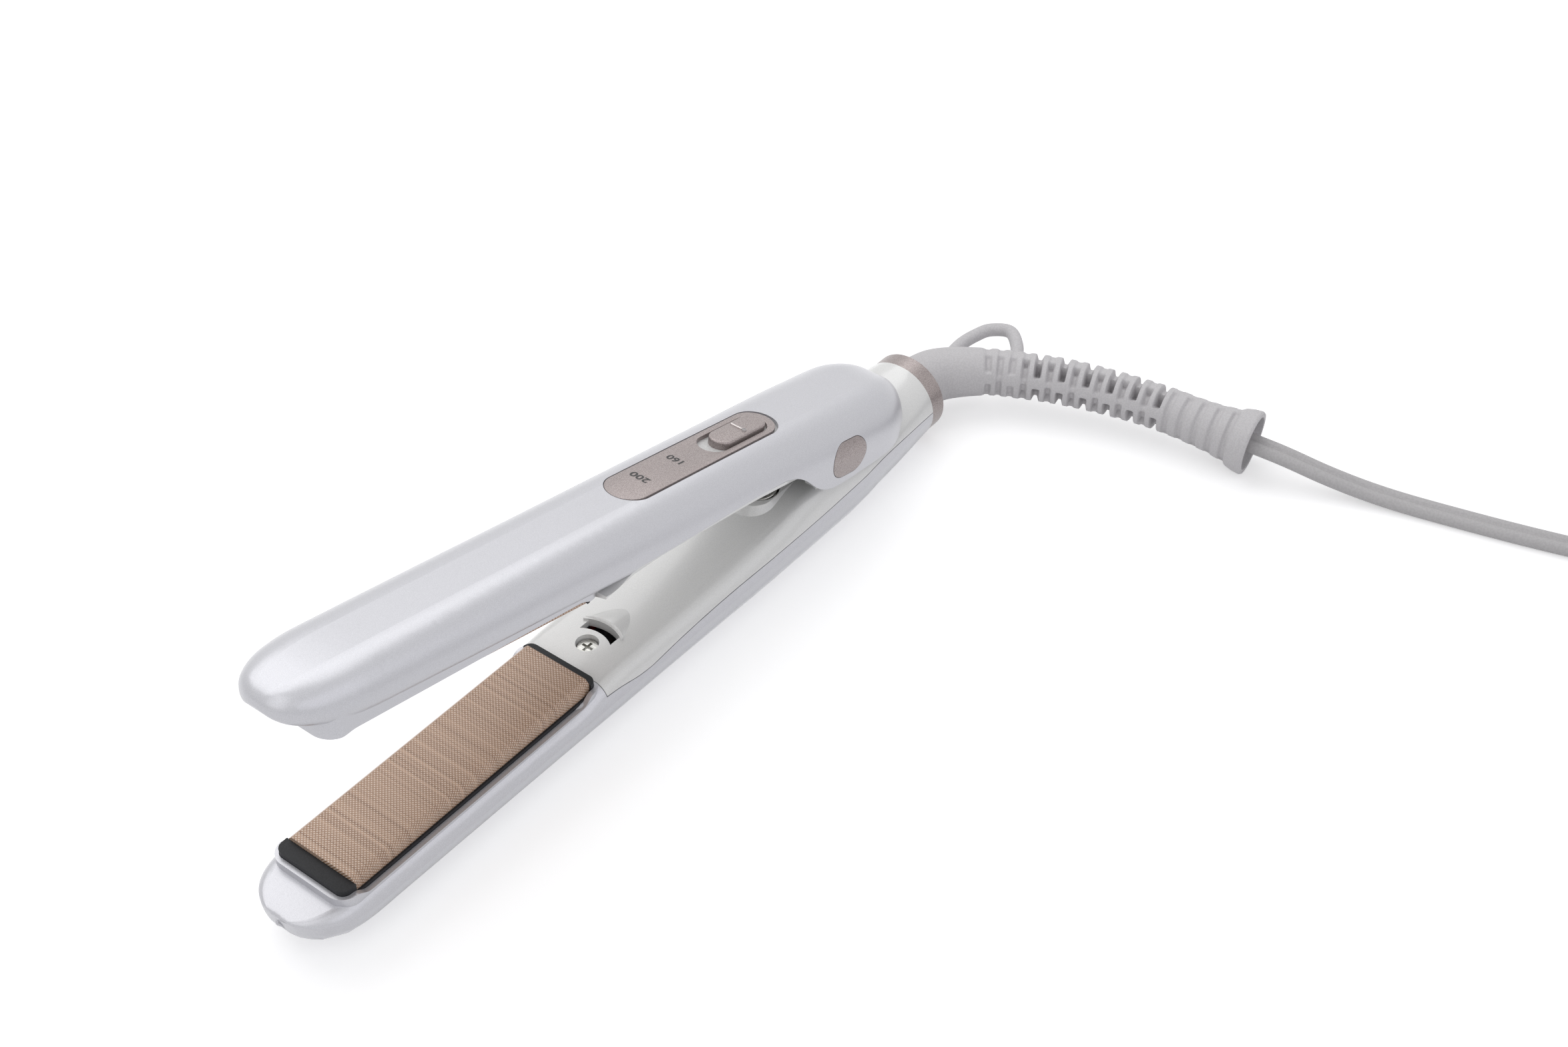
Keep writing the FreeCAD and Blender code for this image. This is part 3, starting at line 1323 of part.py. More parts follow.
# The cord end's centre line on the swivel: elbow, then guard, then bell mouth.
elbow_route = [(102.0, 0.0, 9.85), (105.7, 0.0, 9.85), (110.2, -1.3, 9.85), (114.7, -4.9, 9.8), (119.5, -10.9, 9.8)]
guard_route = [(119.5, -10.9, 9.8), (123.0, -17.3, 9.7), (127.4, -26.5, 9.5), (131.1, -37.5, 9.2),
               (133.6, -49.5, 9.1), (135.0, -61.5, 8.7), (136.8, -72.7, 7.85)]
loop_route = [(117.4, 0.2, 9.8), (124.0, 0.8, 9.8), (129.4, 0.0, 9.8), (133.3, -1.6, 9.8),
              (135.6, -5.7, 9.8), (132.3, -9.9, 9.8), (127.5, -13.1, 9.8)]
cord_route = [(136.8, -72.7, 7.85), (138.1, -80.6, 7.25), (141.0, -91.0, 4.9), (145.1, -103.5, 2.76),
              (149.2, -119.0, 2.76), (153.8, -136.6, 2.76), (159.4, -154.4, 2.76), (166.6, -174.9, 2.76),
              (174.0, -196.0, 2.76)]
tail_route = [(133.2, -254.8), (117.2, -254.8), (102.2, -249.3)]


def vectors(points):
    return [Vector(*point) for point in points]


def centre_line(points, first_way, last_way=None):
    curve = Part.BSplineCurve()
    if last_way is None:
        last_way = points[-1] - points[-2]
    curve.interpolate(points, InitialTangent=first_way, FinalTangent=last_way)
    return curve


def ring_across(curve, along, radius):
    at = curve.parameterAtDistance(along, curve.FirstParameter)
    way = curve.tangent(at)[0]
    side = way.cross(ALONG_Z).normalize()
    frame = FreeCAD.Placement(curve.value(at), FreeCAD.Rotation(side, way.cross(side), way, "ZXY"))
    circle = Part.Circle(Vector(), ALONG_Z, radius).toShape()
    circle.Placement = frame
    return Part.Wire(circle)


def make_elbow():
    points = vectors(elbow_route)
    curve = centre_line(points, ALONG_X, Vector(3.8, -6.3, -0.1))
    length = curve.length()
    count = 8
    rings = []
    for i in range(count + 1):
        share = i / count
        radius = size("elbow_radius") + (size("elbow_end_radius") - size("elbow_radius")) * share
        rings.append(ring_across(curve, length * share, radius))
    bend = Part.makeLoft(rings, True, False)
    axis = Vector(0, 0, size("ring_axis_z"))
    flange_start = number(FLANGE_START)
    flange = Part.makeCylinder(size("flange_radius"), size("flange_thickness"), axis + ALONG_X * flange_start, ALONG_X)
    neck_end = size("arm_reach") + 0.4
    neck = Part.makeCylinder(size("neck_radius"), neck_end - flange_start, axis + ALONG_X * flange_start, ALONG_X)
    return flange.multiFuse([neck, bend]).removeSplitter()


def make_guard():
    points = vectors(guard_route)
    curve = centre_line(points, Vector(3.8, -6.3, -0.1))
    bell_start = curve.length() - size("bell_length")
    pitch = bell_start / size("guard_rib_count")
    groove = size("guard_groove_radius")
    flat = pitch * size("guard_rib_share")
    slope = pitch * size("guard_slope_share")
    rings = []
    for i in range(int(size("guard_rib_count"))):
        start = i * pitch
        rib = through(profile_points("guard_skin"), start / bell_start)
        rings.append(ring_across(curve, start, rib))
        rings.append(ring_across(curve, start + flat, rib))
        rings.append(ring_across(curve, start + flat + slope, groove))
        rings.append(ring_across(curve, start + pitch - slope, groove))
    edge = size("bell_edge")
    rings.append(ring_across(curve, bell_start, size("bell_radius") - edge))
    rings.append(ring_across(curve, bell_start + edge, size("bell_radius")))
    rings.append(ring_across(curve, curve.length(), size("bell_radius")))
    return Part.makeLoft(rings, True, True)


def coil_place(turn):
    """The coil: in along the floor, up a layer in half a turn, and out again on top."""
    turns, step = size("coil_turns"), size("coil_step")
    inner = size("coil_radius") - turns * step
    end = vectors(cord_route)[-1]
    way = (end - vectors(cord_route)[-2]).normalize()
    centre = end + Vector(way.y, -way.x, 0) * size("coil_radius")
    start_angle = math.atan2(end.y - centre.y, end.x - centre.x)
    if turn <= turns:
        radius, rise = size("coil_radius") - step * turn, 0.0
    elif turn <= turns + 0.5:
        share = (turn - turns) * 2
        radius, rise = inner, size("coil_rise") * (3 * share ** 2 - 2 * share ** 3)
    else:
        radius, rise = inner + step * (turn - turns - 0.5), size("coil_rise")
    angle = start_angle - 2 * math.pi * turn
    return Vector(centre.x + radius * math.cos(angle), centre.y + radius * math.sin(angle),
                  size("cord_height") + rise)


def make_cord():
    radius = size("cord_radius")
    route = vectors(cord_route)
    wire, radii = rounded_route(route)
    cord = tube(wire, radius)
    print("cord, arc radii: " + ", ".join("%.0f" % one for one in radii))
    print("cord, volume over section times length: %.4f" % (cord.Volume / (math.pi * radius ** 2 * wire.Length)))
    free_shape("power_cord", cord)
    total = 2 * size("coil_turns") + 0.5
    stops = [total * i / round(4 * total) for i in range(round(4 * total) + 1)]
    coil_wire = Part.Wire(winding_edges(coil_place, stops))
    free_shape("cord_coil", tube(coil_wire, radius))
    fine = [total * i / round(24 * total) for i in range(round(24 * total) + 1)]
    print("coil, least gap between loops: %.2f" % least_gap(coil_place, fine, 12, 2 * radius))
    start = coil_place(total)
    plug_z = size("plug_height") / 2
    drop = (plug_z - start.z) / len(tail_route)
    tail = [start] + [Vector(x, y, start.z + drop * (i + 1)) for i, (x, y) in enumerate(tail_route)]
    tail_wire, tail_radii = rounded_route(tail)
    free_shape("cord_tail", tube(tail_wire, radius))
    print("tail, arc radii: " + ", ".join("%.0f" % one for one in tail_radii))
    print("cord, whole length: %.0f" % (wire.Length + coil_wire.Length + tail_wire.Length))
    return tail[-1], (tail[-1] - tail[-2]).normalize()


def make_plug(place, way):
    body = new_body("plug")
    sketch = new_sketch(body, "XY")
    draw_box(sketch, "plug_relief_length", "plug_relief_length + plug_length", "-plug_width / 2", "plug_width / 2")
    pad(body, sketch, "plug_height", centred=True)
    round_edges(body, ALONG_X, "plug_edge")
    relief = new_sketch(body, "XZ")
    draw_polygon(relief, [("0", "0"), ("plug_relief_length + 1", "0"), ("plug_relief_length + 1", "plug_relief_radius + 1"),
                          ("0", "plug_relief_radius")])
    revolve(body, relief, "H_Axis")
    blades = new_body("plug_blades")
    outline = new_sketch(blades, "XZ", "blade_spacing / 2 - blade_thickness / 2")
    start = "plug_relief_length + plug_length"
    draw_box(outline, start, start + " + blade_length", "-blade_width / 2", "blade_width / 2")
    draw_circle(outline, start + " + blade_hole_reach", "0", "blade_hole_radius")
    mirror(blades, pad(blades, outline, "blade_thickness"), "XZ")
    turn = math.degrees(math.atan2(way.y, way.x))
    for piece in (body, blades):
        piece.Placement = FreeCAD.Placement(place, FreeCAD.Rotation(ALONG_Z, turn))


def make_leads():
    """Two wires in each arm, from the heater back to the swivel's contacts or the circuit board."""
    middle = size("plate_rear") - size("plate_length") / 2
    start_x = middle + size("clamp_length") / 2
    rear = start_x + 9
    wide = size("lead_y")
    deep = size("lead_depth")
    axis_depth = size("plate_plane") - size("ring_axis_z")
    hole_x, hole_y = size("lead_hole_x"), size("lead_hole_y")
    under_plate = size("plate_depth") - size("lead_radius") - 0.1
    start = [(start_x + 0.3, hole_y, under_plate), (hole_x - 0.1, hole_y + 0.05, under_plate),
             (hole_x + 0.2, hole_y + 0.2, deep + 0.4)]
    runs = {
        "lower": start + [(rear, wide, deep), (66, wide, deep), (73, 4.6, axis_depth)],
        "upper": start + [(rear, wide, deep + 0.6),
                          (size("board_front") + 0.5, wide, size("board_depth") - 0.65)],
    }
    for side in (LOWER, UPPER):
        wires = []
        for y in (-1, 1):
            points = [Vector(x, y * across, height(side, depth)) for x, across, depth in runs[arm_name(side)]]
            wires.append(tube(rounded_route(points)[0], size("lead_radius")))
        free_shape(arm_name(side) + "_leads", Part.makeCompound(wires))


make_lower_shells()
free_shape("upper_casing", make_upper_casing())
make_upper_cover()
for side in (LOWER, UPPER):
    make_plate(side)
    make_gasket(side)
    make_heater_stack(side)
    make_cover_screw(side)
rod_y = "(plate_half - plate_skirt + heater_half) / 2"
make_rod("temperature_sensor", LOWER, "sensor_x", rod_y, "plate_web + plate_fit + sensor_radius", "sensor_radius",
         "sensor_length")
make_rod("thermal_fuse", UPPER, "fuse_x", rod_y, "plate_web + plate_fit + fuse_radius", "fuse_radius", "fuse_length")
make_barrel_pieces()
make_hinge_pieces()
make_switch_plate()
make_switch_knob()
make_shutter()
make_board_pieces()
make_spring()
make_leads()
elbow = make_elbow()
guard = make_guard()
free_shape("swivel_elbow", elbow)
free_shape("ribbed_guard", guard)
loop = tube(rounded_route(vectors(loop_route))[0], size("loop_radius"))
free_shape("hanging_loop", loop.cut(elbow).cut(guard))
plug_place, plug_way = make_cord()
make_plug(plug_place, plug_way)

upper_pieces = [name for name in pieces if name.startswith("upper_")] + [
    "thermal_fuse", "hinge_pin", "hinge_badges", "switch_plate", "switch_knob", "knob_bead", "switch_shutter",
    "circuit_board", "board_screws", "slide_switch", "triac", "capacitor", "indicator_lamp"]
open_turn = FreeCAD.Placement(Vector(), FreeCAD.Rotation(ALONG_Y, size("open_angle")),
                              Vector(size("hinge_x"), 0, size("hinge_z")))
for name in upper_pieces:
    pieces[name].Placement = open_turn
for name in ("switch_plate", "switch_knob", "knob_bead", "switch_shutter"):
    pieces[name].Placement = open_turn.multiply(switch_tilt())
doc.recompute()

for made in doc.Objects:
    if "Invalid" in made.State or "Error" in made.State:
        raise ValueError("failed: " + made.Name)
os.makedirs("parts", exist_ok=True)
for name, piece in pieces.items():
    if piece.Shape.isNull() or not piece.Shape.isValid():
        raise ValueError("bad shape: " + name)
    piece.Shape.exportStep("parts/%s.step" % name)
print("pieces: %d" % len(pieces))
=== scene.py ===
import math

import bmesh
import bpy
from mathutils import Matrix, Vector


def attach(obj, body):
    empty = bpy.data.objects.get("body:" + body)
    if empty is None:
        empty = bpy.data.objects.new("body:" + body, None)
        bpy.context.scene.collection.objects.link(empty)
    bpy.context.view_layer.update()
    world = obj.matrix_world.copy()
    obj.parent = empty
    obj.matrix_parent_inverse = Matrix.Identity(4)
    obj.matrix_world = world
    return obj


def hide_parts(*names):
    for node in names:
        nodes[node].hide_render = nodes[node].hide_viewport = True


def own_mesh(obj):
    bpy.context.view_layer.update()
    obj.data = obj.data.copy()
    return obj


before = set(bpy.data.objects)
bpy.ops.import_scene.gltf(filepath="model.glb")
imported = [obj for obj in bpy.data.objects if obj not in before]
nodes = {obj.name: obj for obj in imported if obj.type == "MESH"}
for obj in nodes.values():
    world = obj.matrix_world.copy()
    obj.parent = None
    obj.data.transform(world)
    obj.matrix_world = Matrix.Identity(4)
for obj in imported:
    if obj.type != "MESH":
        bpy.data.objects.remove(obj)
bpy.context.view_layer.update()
print("frame:", len(nodes), "nodes")

# Sizes are in millimetres in the dictionaries, and in metres in Blender
mm = 0.001
hinge = {"x": 59.74, "z": 23.9, "open": 14.1}
switchTilt = {"x": 19.0, "depth": 16.33, "angle": 1.16}  # the switch lies along the casing's rising back
platePlane = 16.2  # height where the plates meet when the arms are closed


def turnAbout(x, z, degrees):
    there = Matrix.Translation(Vector((x, 0, z)))
    return there @ Matrix.Rotation(math.radians(degrees), 4, "Y") @ there.inverted()


openTurn = turnAbout(hinge["x"], hinge["z"], hinge["open"])
switchTurn = openTurn @ turnAbout(switchTilt["x"], platePlane + switchTilt["depth"], -switchTilt["angle"])


# Mesh helpers

def meshPiece(name, points, faces, turn=None, sharp=40):
    # Points are in millimetres; a turned piece is given with the arms closed
    if turn:
        points = [turn @ Vector(point) for point in points]
    mesh = bpy.data.meshes.new(name)
    mesh.from_pydata([tuple(coordinate * mm for coordinate in point) for point in points], [], faces)
    shaped = bmesh.new()
    shaped.from_mesh(mesh)
    bmesh.ops.recalc_face_normals(shaped, faces=shaped.faces)
    for face in shaped.faces:
        face.smooth = True
    for edge in shaped.edges:
        edge.smooth = edge.calc_face_angle(0) < math.radians(sharp)
    shaped.to_mesh(mesh)
    shaped.free()
    piece = bpy.data.objects.new(name, mesh)
    bpy.context.scene.collection.objects.link(piece)
    return piece


def skinRings(rings, joined=False):
    # Faces between rings of equal count, closed at both ends; joined makes the last ring meet the first instead
    count = len(rings[0])
    points = [point for ring in rings for point in ring]
    faces = []
    pairs = len(rings) if joined else len(rings) - 1
    for row in range(pairs):
        after = (row + 1) % len(rings)
        for index in range(count):
            ahead = (index + 1) % count
            faces.append((row * count + index, row * count + ahead, after * count + ahead, after * count + index))
    if not joined:
        faces.append(tuple(range(count)))
        faces.append(tuple(range((len(rings) - 1) * count, len(rings) * count)))
    return points, faces


def stadiumRing(start, end, half, z, inset=0.0, steps=20):
    left, right, radius = start + half, end - half, half - inset
    ring = []
    for step in range(steps + 1):
        angle = -math.pi / 2 + math.pi * step / steps
        ring.append((right + radius * math.cos(angle), radius * math.sin(angle), z))
    for step in range(steps + 1):
        angle = math.pi / 2 + math.pi * step / steps
        ring.append((left + radius * math.cos(angle), radius * math.sin(angle), z))
    return ring


def roundedRise(start, end, half, low, high, edge, steps=4):
    # Rings up a stadium's side and over its rounded upper edge
    rings = [stadiumRing(start, end, half, low)]
    for step in range(steps + 1):
        angle = math.pi / 2 * step / steps
        rings.append(stadiumRing(start, end, half, high - edge + edge * math.sin(angle),
                                 edge - edge * math.cos(angle)))
    return rings


def smoothLine(route, steps=24):
    # A smooth line that passes through every point of a route
    points = [Vector(place) for place in route]
    points = [2 * points[0] - points[1]] + points + [2 * points[-1] - points[-2]]
    line = []
    for before, start, end, after in zip(points, points[1:], points[2:], points[3:]):
        for step in range(steps):
            t = step / steps
            line.append(start + ((end - before) * t + (2 * before - 5 * start + 4 * end - after) * t ** 2
                                 + (3 * start - before - 3 * end + after) * t ** 3) / 2)
    line.append(points[-2])
    return line


def lineLength(line):
    return sum((after - before).length for before, after in zip(line, line[1:]))


def routeCurve(name, route, resolution, pointSize):
    curve = bpy.data.curves.new(name, "CURVE")
    curve.dimensions = "3D"
    spline = curve.splines.new("NURBS")
    spline.points.add(len(route) - 1)
    for point, place in zip(spline.points, route):
        point.co = (*(coordinate * mm for coordinate in place), 1)
        point.radius = pointSize
    spline.order_u = 3
    spline.use_endpoint_u = True
    spline.resolution_u = resolution
    return curve


def evenly(line, count):
    # Places and directions at even distances along a line
    lengths = [0.0]
    for before, after in zip(line, line[1:]):
        lengths.append(lengths[-1] + (after - before).length)
    stops, index = [], 0
    for step in range(count + 1):
        distance = lengths[-1] * step / count
        while index < len(line) - 2 and lengths[index + 1] < distance:
            index += 1
        run = lengths[index + 1] - lengths[index]
        share = (distance - lengths[index]) / run
        stops.append((line[index].lerp(line[index + 1], share), distance))
    places = []
    for step, (place, distance) in enumerate(stops):
        before, after = stops[max(step - 1, 0)][0], stops[min(step + 1, count)][0]
        places.append((place, (after - before).normalized(), distance))
    return places


def ringsAlong(places, radiusAt, steps):
    # Rings square to a line; an angle of 0 is the horizontal side and 90 is up
    rings = []
    for place, way, distance in places:
        side = way.cross(Vector((0, 0, 1))).normalized()
        up = side.cross(way).normalized()
        ring = []
        for step in range(steps):
            angle = 2 * math.pi * step / steps
            reach = radiusAt(distance, angle)
            ring.append(place + (side * math.cos(angle) + up * math.sin(angle)) * reach)
        rings.append(ring)
    return rings


def blendStep(low, high, value):
    share = min(max((value - low) / (high - low), 0.0), 1.0)
    return share * share * (3 - 2 * share)


def between(stops, at):
    # Straight runs through (place, amount) pairs
    for (start, first), (end, second) in zip(stops, stops[1:]):
        if at <= end:
            share = min(max((at - start) / (end - start), 0.0), 1.0)
            return first + (second - first) * share
    return stops[-1][1]


# Materials

def linearColor(code):
    # An sRGB hex value as the linear colour that Blender's nodes take
    channels = [int(code[start:start + 2], 16) / 255 for start in (1, 3, 5)]
    return (*(value / 12.92 if value <= 0.04045 else ((value + 0.055) / 1.055) ** 2.4 for value in channels), 1)


def addNode(tree, kind, values=None, links=None, **settings):
    node = tree.nodes.new(kind)
    for name, value in settings.items():
        setattr(node, name, value)
    for socket, value in (values or {}).items():
        node.inputs[socket].default_value = value
    for socket, source in (links or {}).items():
        tree.links.new(source, node.inputs[socket])
    return node


def newMaterial(name, values):
    material = bpy.data.materials.new(name)
    material.use_nodes = True
    tree = material.node_tree
    shader = tree.nodes["Principled BSDF"]
    for socket, value in values.items():
        shader.inputs[socket].default_value = value
    place = addNode(tree, "ShaderNodeTexCoord").outputs["Object"]
    return material, tree, shader, place


def perMetre(size):
    # A noise scale whose features are about this many millimetres across
    return 1 / (size * mm)


def twoTone(tree, source, stops, tones):
    # A ramp between two sRGB tones
    ramp = addNode(tree, "ShaderNodeValToRGB", links={"Fac": source})
    for stop, where, tone in zip(ramp.color_ramp.elements, stops, tones):
        stop.position = where
        stop.color = linearColor(tone)
    return ramp.outputs["Color"]


def raiseBy(tree, shader, source, strength, depth):
    # Bump of this many millimetres at most
    raised = addNode(tree, "ShaderNodeBump", {"Strength": strength, "Distance": depth * mm}, {"Height": source})
    tree.links.new(raised.outputs["Normal"], shader.inputs["Normal"])


def speckled(name, dark, light, grain, values, bump=0.05, depth=0.02):
    # Fine two-tone grain with a matching bump, for moulded and painted surfaces; grain and depth in millimetres
    material, tree, shader, place = newMaterial(name, values)
    noise = addNode(tree, "ShaderNodeTexNoise", {"Scale": perMetre(grain), "Detail": 2.0}, {"Vector": place})
    color = twoTone(tree, noise.outputs["Fac"], (0.42, 0.58), (dark, light))
    tree.links.new(color, shader.inputs["Base Color"])
    raiseBy(tree, shader, noise.outputs["Fac"], bump, depth)
    return material


# Pearl paint on moulded ABS: mica flakes under a satin lacquer, so broad soft highlights and a fine sparkle
pearlPaint = speckled("pearlPaintedAbs", "#BFBFC4", "#C9C9CE", 0.15,
                      {"Metallic": 0.5, "Roughness": 0.36, "IOR": 1.5, "Coat Weight": 0.5,
                       "Coat Roughness": 0.25}, bump=0.08, depth=0.01)
# The inner covers have the same paint with a glossier lacquer
glossPearl = speckled("glossPearlPaintedAbs", "#DEDEDD", "#E5E5E4", 0.2,
                      {"Metallic": 0.05, "Roughness": 0.28, "IOR": 1.5, "Coat Weight": 0.7,
                       "Coat Roughness": 0.12}, bump=0.04, depth=0.008)
# Mauve metallic paint with coarse flake, satin
rosePaint = speckled("roseMetallicPaint", "#8A807F", "#ACA2A0", 0.16,
                     {"Metallic": 0.55, "Roughness": 0.36, "Coat Weight": 0.2, "Coat Roughness": 0.25},
                     bump=0.12, depth=0.012)
# The knob's raised line, polished bright
wornLine = speckled("polishedLine", "#CFC8C6", "#E2DCDA", 0.15, {"Metallic": 0.4, "Roughness": 0.25}, bump=0.03,
                    depth=0.005)
# Thermoplastic elastomer of the cord guard, moulded with a matte skin
elastomer = speckled("mouldedElastomer", "#C6C4C6", "#CECCCE", 0.35,
                     {"Roughness": 0.62, "IOR": 1.47, "Specular IOR Level": 0.35}, bump=0.06, depth=0.01)
# Extruded PVC jacket, satin, a little greyer than the guard
jacket = speckled("extrudedPvcJacket", "#B4B2B3", "#BBB9BA", 0.5,
                  {"Roughness": 0.48, "IOR": 1.53, "Specular IOR Level": 0.4}, bump=0.04, depth=0.01)
# Heat-proof silicone rubber gasket, matte black
gasketRubber = speckled("blackSiliconeGasket", "#131417", "#1D1E22", 0.3,
                        {"Roughness": 0.55, "Specular IOR Level": 0.35}, bump=0.1, depth=0.01)
shutterAbs = speckled("mouldedWhiteAbs", "#CFCFCE", "#D8D8D7", 0.4, {"Roughness": 0.3, "IOR": 1.5},
                      bump=0.03, depth=0.01)
# Near-white plastic for the slot's rim, lighter than the cover around it: a painted highlight where the rim's face
# catches the light
rimHighlightAbs = speckled("rimPaintedHighlightAbs", "#EDEDEC", "#F4F4F3", 0.4, {"Roughness": 0.35, "IOR": 1.5},
                   bump=0.03, depth=0.01)
plugPvc = speckled("mouldedPvcPlug", "#B6B4B5", "#BFBDBE", 0.4, {"Roughness": 0.55, "IOR": 1.53},
                   bump=0.08, depth=0.02)
blackResin = speckled("mouldedBlackResin", "#1A1918", "#262423", 0.3, {"Roughness": 0.5}, bump=0.08, depth=0.02)
carrierResin = speckled("glassFilledResin", "#2A2522", "#393330", 0.25, {"Roughness": 0.6}, bump=0.12, depth=0.02)
heaterAlumina = speckled("firedAlumina", "#DCD8CD", "#E6E3DA", 0.2, {"Roughness": 0.5}, bump=0.1, depth=0.01)
redSilicone = speckled("redSilicone", "#B4553F", "#C2644C", 0.4, {"Roughness": 0.5}, bump=0.05, depth=0.02)
leadSilicone = speckled("siliconeLeadJacket", "#8E1F19", "#A02A22", 0.4, {"Roughness": 0.45}, bump=0.05, depth=0.02)
boardLacquer = speckled("lacqueredBoard", "#1F5A38", "#2A6A44", 0.5, {"Roughness": 0.3, "Coat Weight": 0.5},
                        bump=0.05, depth=0.01)
socketNylon = speckled("naturalNylon", "#D9D7D0", "#E2E0DA", 0.4, {"Roughness": 0.45}, bump=0.04, depth=0.02)


def turnedMetal(name, dark, light, line, values):
    # Fine parallel tool marks across the part's length, this many millimetres wide
    material, tree, shader, place = newMaterial(name, values)
    stretch = addNode(tree, "ShaderNodeMapping", {"Scale": (1.0, 0.08, 0.08)}, {"Vector": place})
    noise = addNode(tree, "ShaderNodeTexNoise", {"Scale": perMetre(line), "Detail": 3.0},
                    {"Vector": stretch.outputs["Vector"]})
    color = twoTone(tree, noise.outputs["Fac"], (0.35, 0.65), (dark, light))
    tree.links.new(color, shader.inputs["Base Color"])
    raiseBy(tree, shader, noise.outputs["Fac"], 0.15, 0.01)
    return material


zincSteel = turnedMetal("zincPlatedSteel", "#A9A9A6", "#C9C8C3", 0.15, {"Metallic": 1.0, "Roughness": 0.3})
rolledAluminium = turnedMetal("rolledAluminium", "#B5B7BA", "#CFD1D4", 0.2, {"Metallic": 1.0, "Roughness": 0.35})
drawnBrass = turnedMetal("drawnBrass", "#B99B5A", "#D6BC7C", 0.15, {"Metallic": 1.0, "Roughness": 0.28})

# Clear acrylic bead: a smooth drop that carries the lamp's light
clearAcrylic = newMaterial("clearAcrylic", {"Base Color": linearColor("#E9EBEC"), "Roughness": 0.06, "IOR": 1.49,
                                            "Transmission Weight": 0.85})[0]
# Pad-printed ink of the dial numbers
printInk = speckled("padPrintedInk", "#2B2A2B", "#363435", 0.3, {"Roughness": 0.5}, bump=0.02, depth=0.005)

weave = {
    "pitch": 0.8,         # two staggered rows of printed dots, 0.57 mm apart on the diagonal
    "streak": 0.9,        # width of the printed streaks that run across the plate
    "streakRun": 0.004,   # how little a streak changes across the plate, as a share of how it changes along it
    "dotEdges": (-0.05, 0.75),   # where a dot fades out and where it is full
    "raised": 0.03,
    "ground": "#8C6A52",
    "groundLight": "#BF9D84",
    "dot": "#DECDBE",
}


def wovenCoating(name, turned):
    # Ceramic coating over a print that looks like cloth: staggered pale dots on streaked tan
    material, tree, shader, place = newMaterial(name, {"Roughness": 0.42, "Specular IOR Level": 0.45,
                                                       "Coat Weight": 0.15, "Coat Roughness": 0.3})
    if turned:
        move = addNode(tree, "ShaderNodeMapping", {"Location": Vector((-hinge["x"], 0, -hinge["z"])) * mm},
                       {"Vector": place})
        turn = addNode(tree, "ShaderNodeMapping", {"Rotation": (0, -math.radians(hinge["open"]), 0)},
                       {"Vector": move.outputs["Vector"]})
        place = addNode(tree, "ShaderNodeMapping", {"Location": Vector((hinge["x"], 0, hinge["z"])) * mm},
                        {"Vector": turn.outputs["Vector"]}).outputs["Vector"]
    axes = addNode(tree, "ShaderNodeSeparateXYZ", links={"Vector": place})
    # The print wraps over the plate's edges, so its second direction runs on down the sides
    half = addNode(tree, "ShaderNodeMath", links={0: axes.outputs["Y"]}, operation="ABSOLUTE")
    over = addNode(tree, "ShaderNodeMath", links={0: half.outputs["Value"], 1: axes.outputs["Z"]},
                   operation="ADD" if turned else "SUBTRACT")
    turns = 2 * math.pi / (weave["pitch"] * mm)
    waves = []
    for along in (axes.outputs["X"], over.outputs["Value"]):
        scaled = addNode(tree, "ShaderNodeMath", {1: turns}, {0: along}, operation="MULTIPLY")
        waves.append(addNode(tree, "ShaderNodeMath", links={0: scaled.outputs["Value"]}, operation="SINE"))
    product = addNode(tree, "ShaderNodeMath", links={0: waves[0].outputs["Value"], 1: waves[1].outputs["Value"]},
                      operation="MULTIPLY")
    faint, full = weave["dotEdges"]
    dots = addNode(tree, "ShaderNodeMapRange", {"From Min": faint, "From Max": full, "To Min": 0.0, "To Max": 1.0},
                   {"Value": product.outputs["Value"]}, interpolation_type="SMOOTHSTEP")
    stretch = addNode(tree, "ShaderNodeMapping", {"Scale": (1.0, weave["streakRun"], weave["streakRun"])},
                      {"Vector": place})
    streaks = addNode(tree, "ShaderNodeTexNoise", {"Scale": perMetre(weave["streak"]), "Detail": 5.0},
                      {"Vector": stretch.outputs["Vector"]})
    ground = twoTone(tree, streaks.outputs["Fac"], (0.36, 0.64), (weave["ground"], weave["groundLight"]))
    mixed = addNode(tree, "ShaderNodeMix", {"B": linearColor(weave["dot"])},
                    {"Factor": dots.outputs["Result"], "A": ground}, data_type="RGBA")
    tree.links.new(mixed.outputs["Result"], shader.inputs["Base Color"])
    raiseBy(tree, shader, dots.outputs["Result"], 0.15, weave["raised"])
    return material


lowerCoating = wovenCoating("printedCeramicLower", False)
upperCoating = wovenCoating("printedCeramicUpper", True)
print("materials:", len(bpy.data.materials))

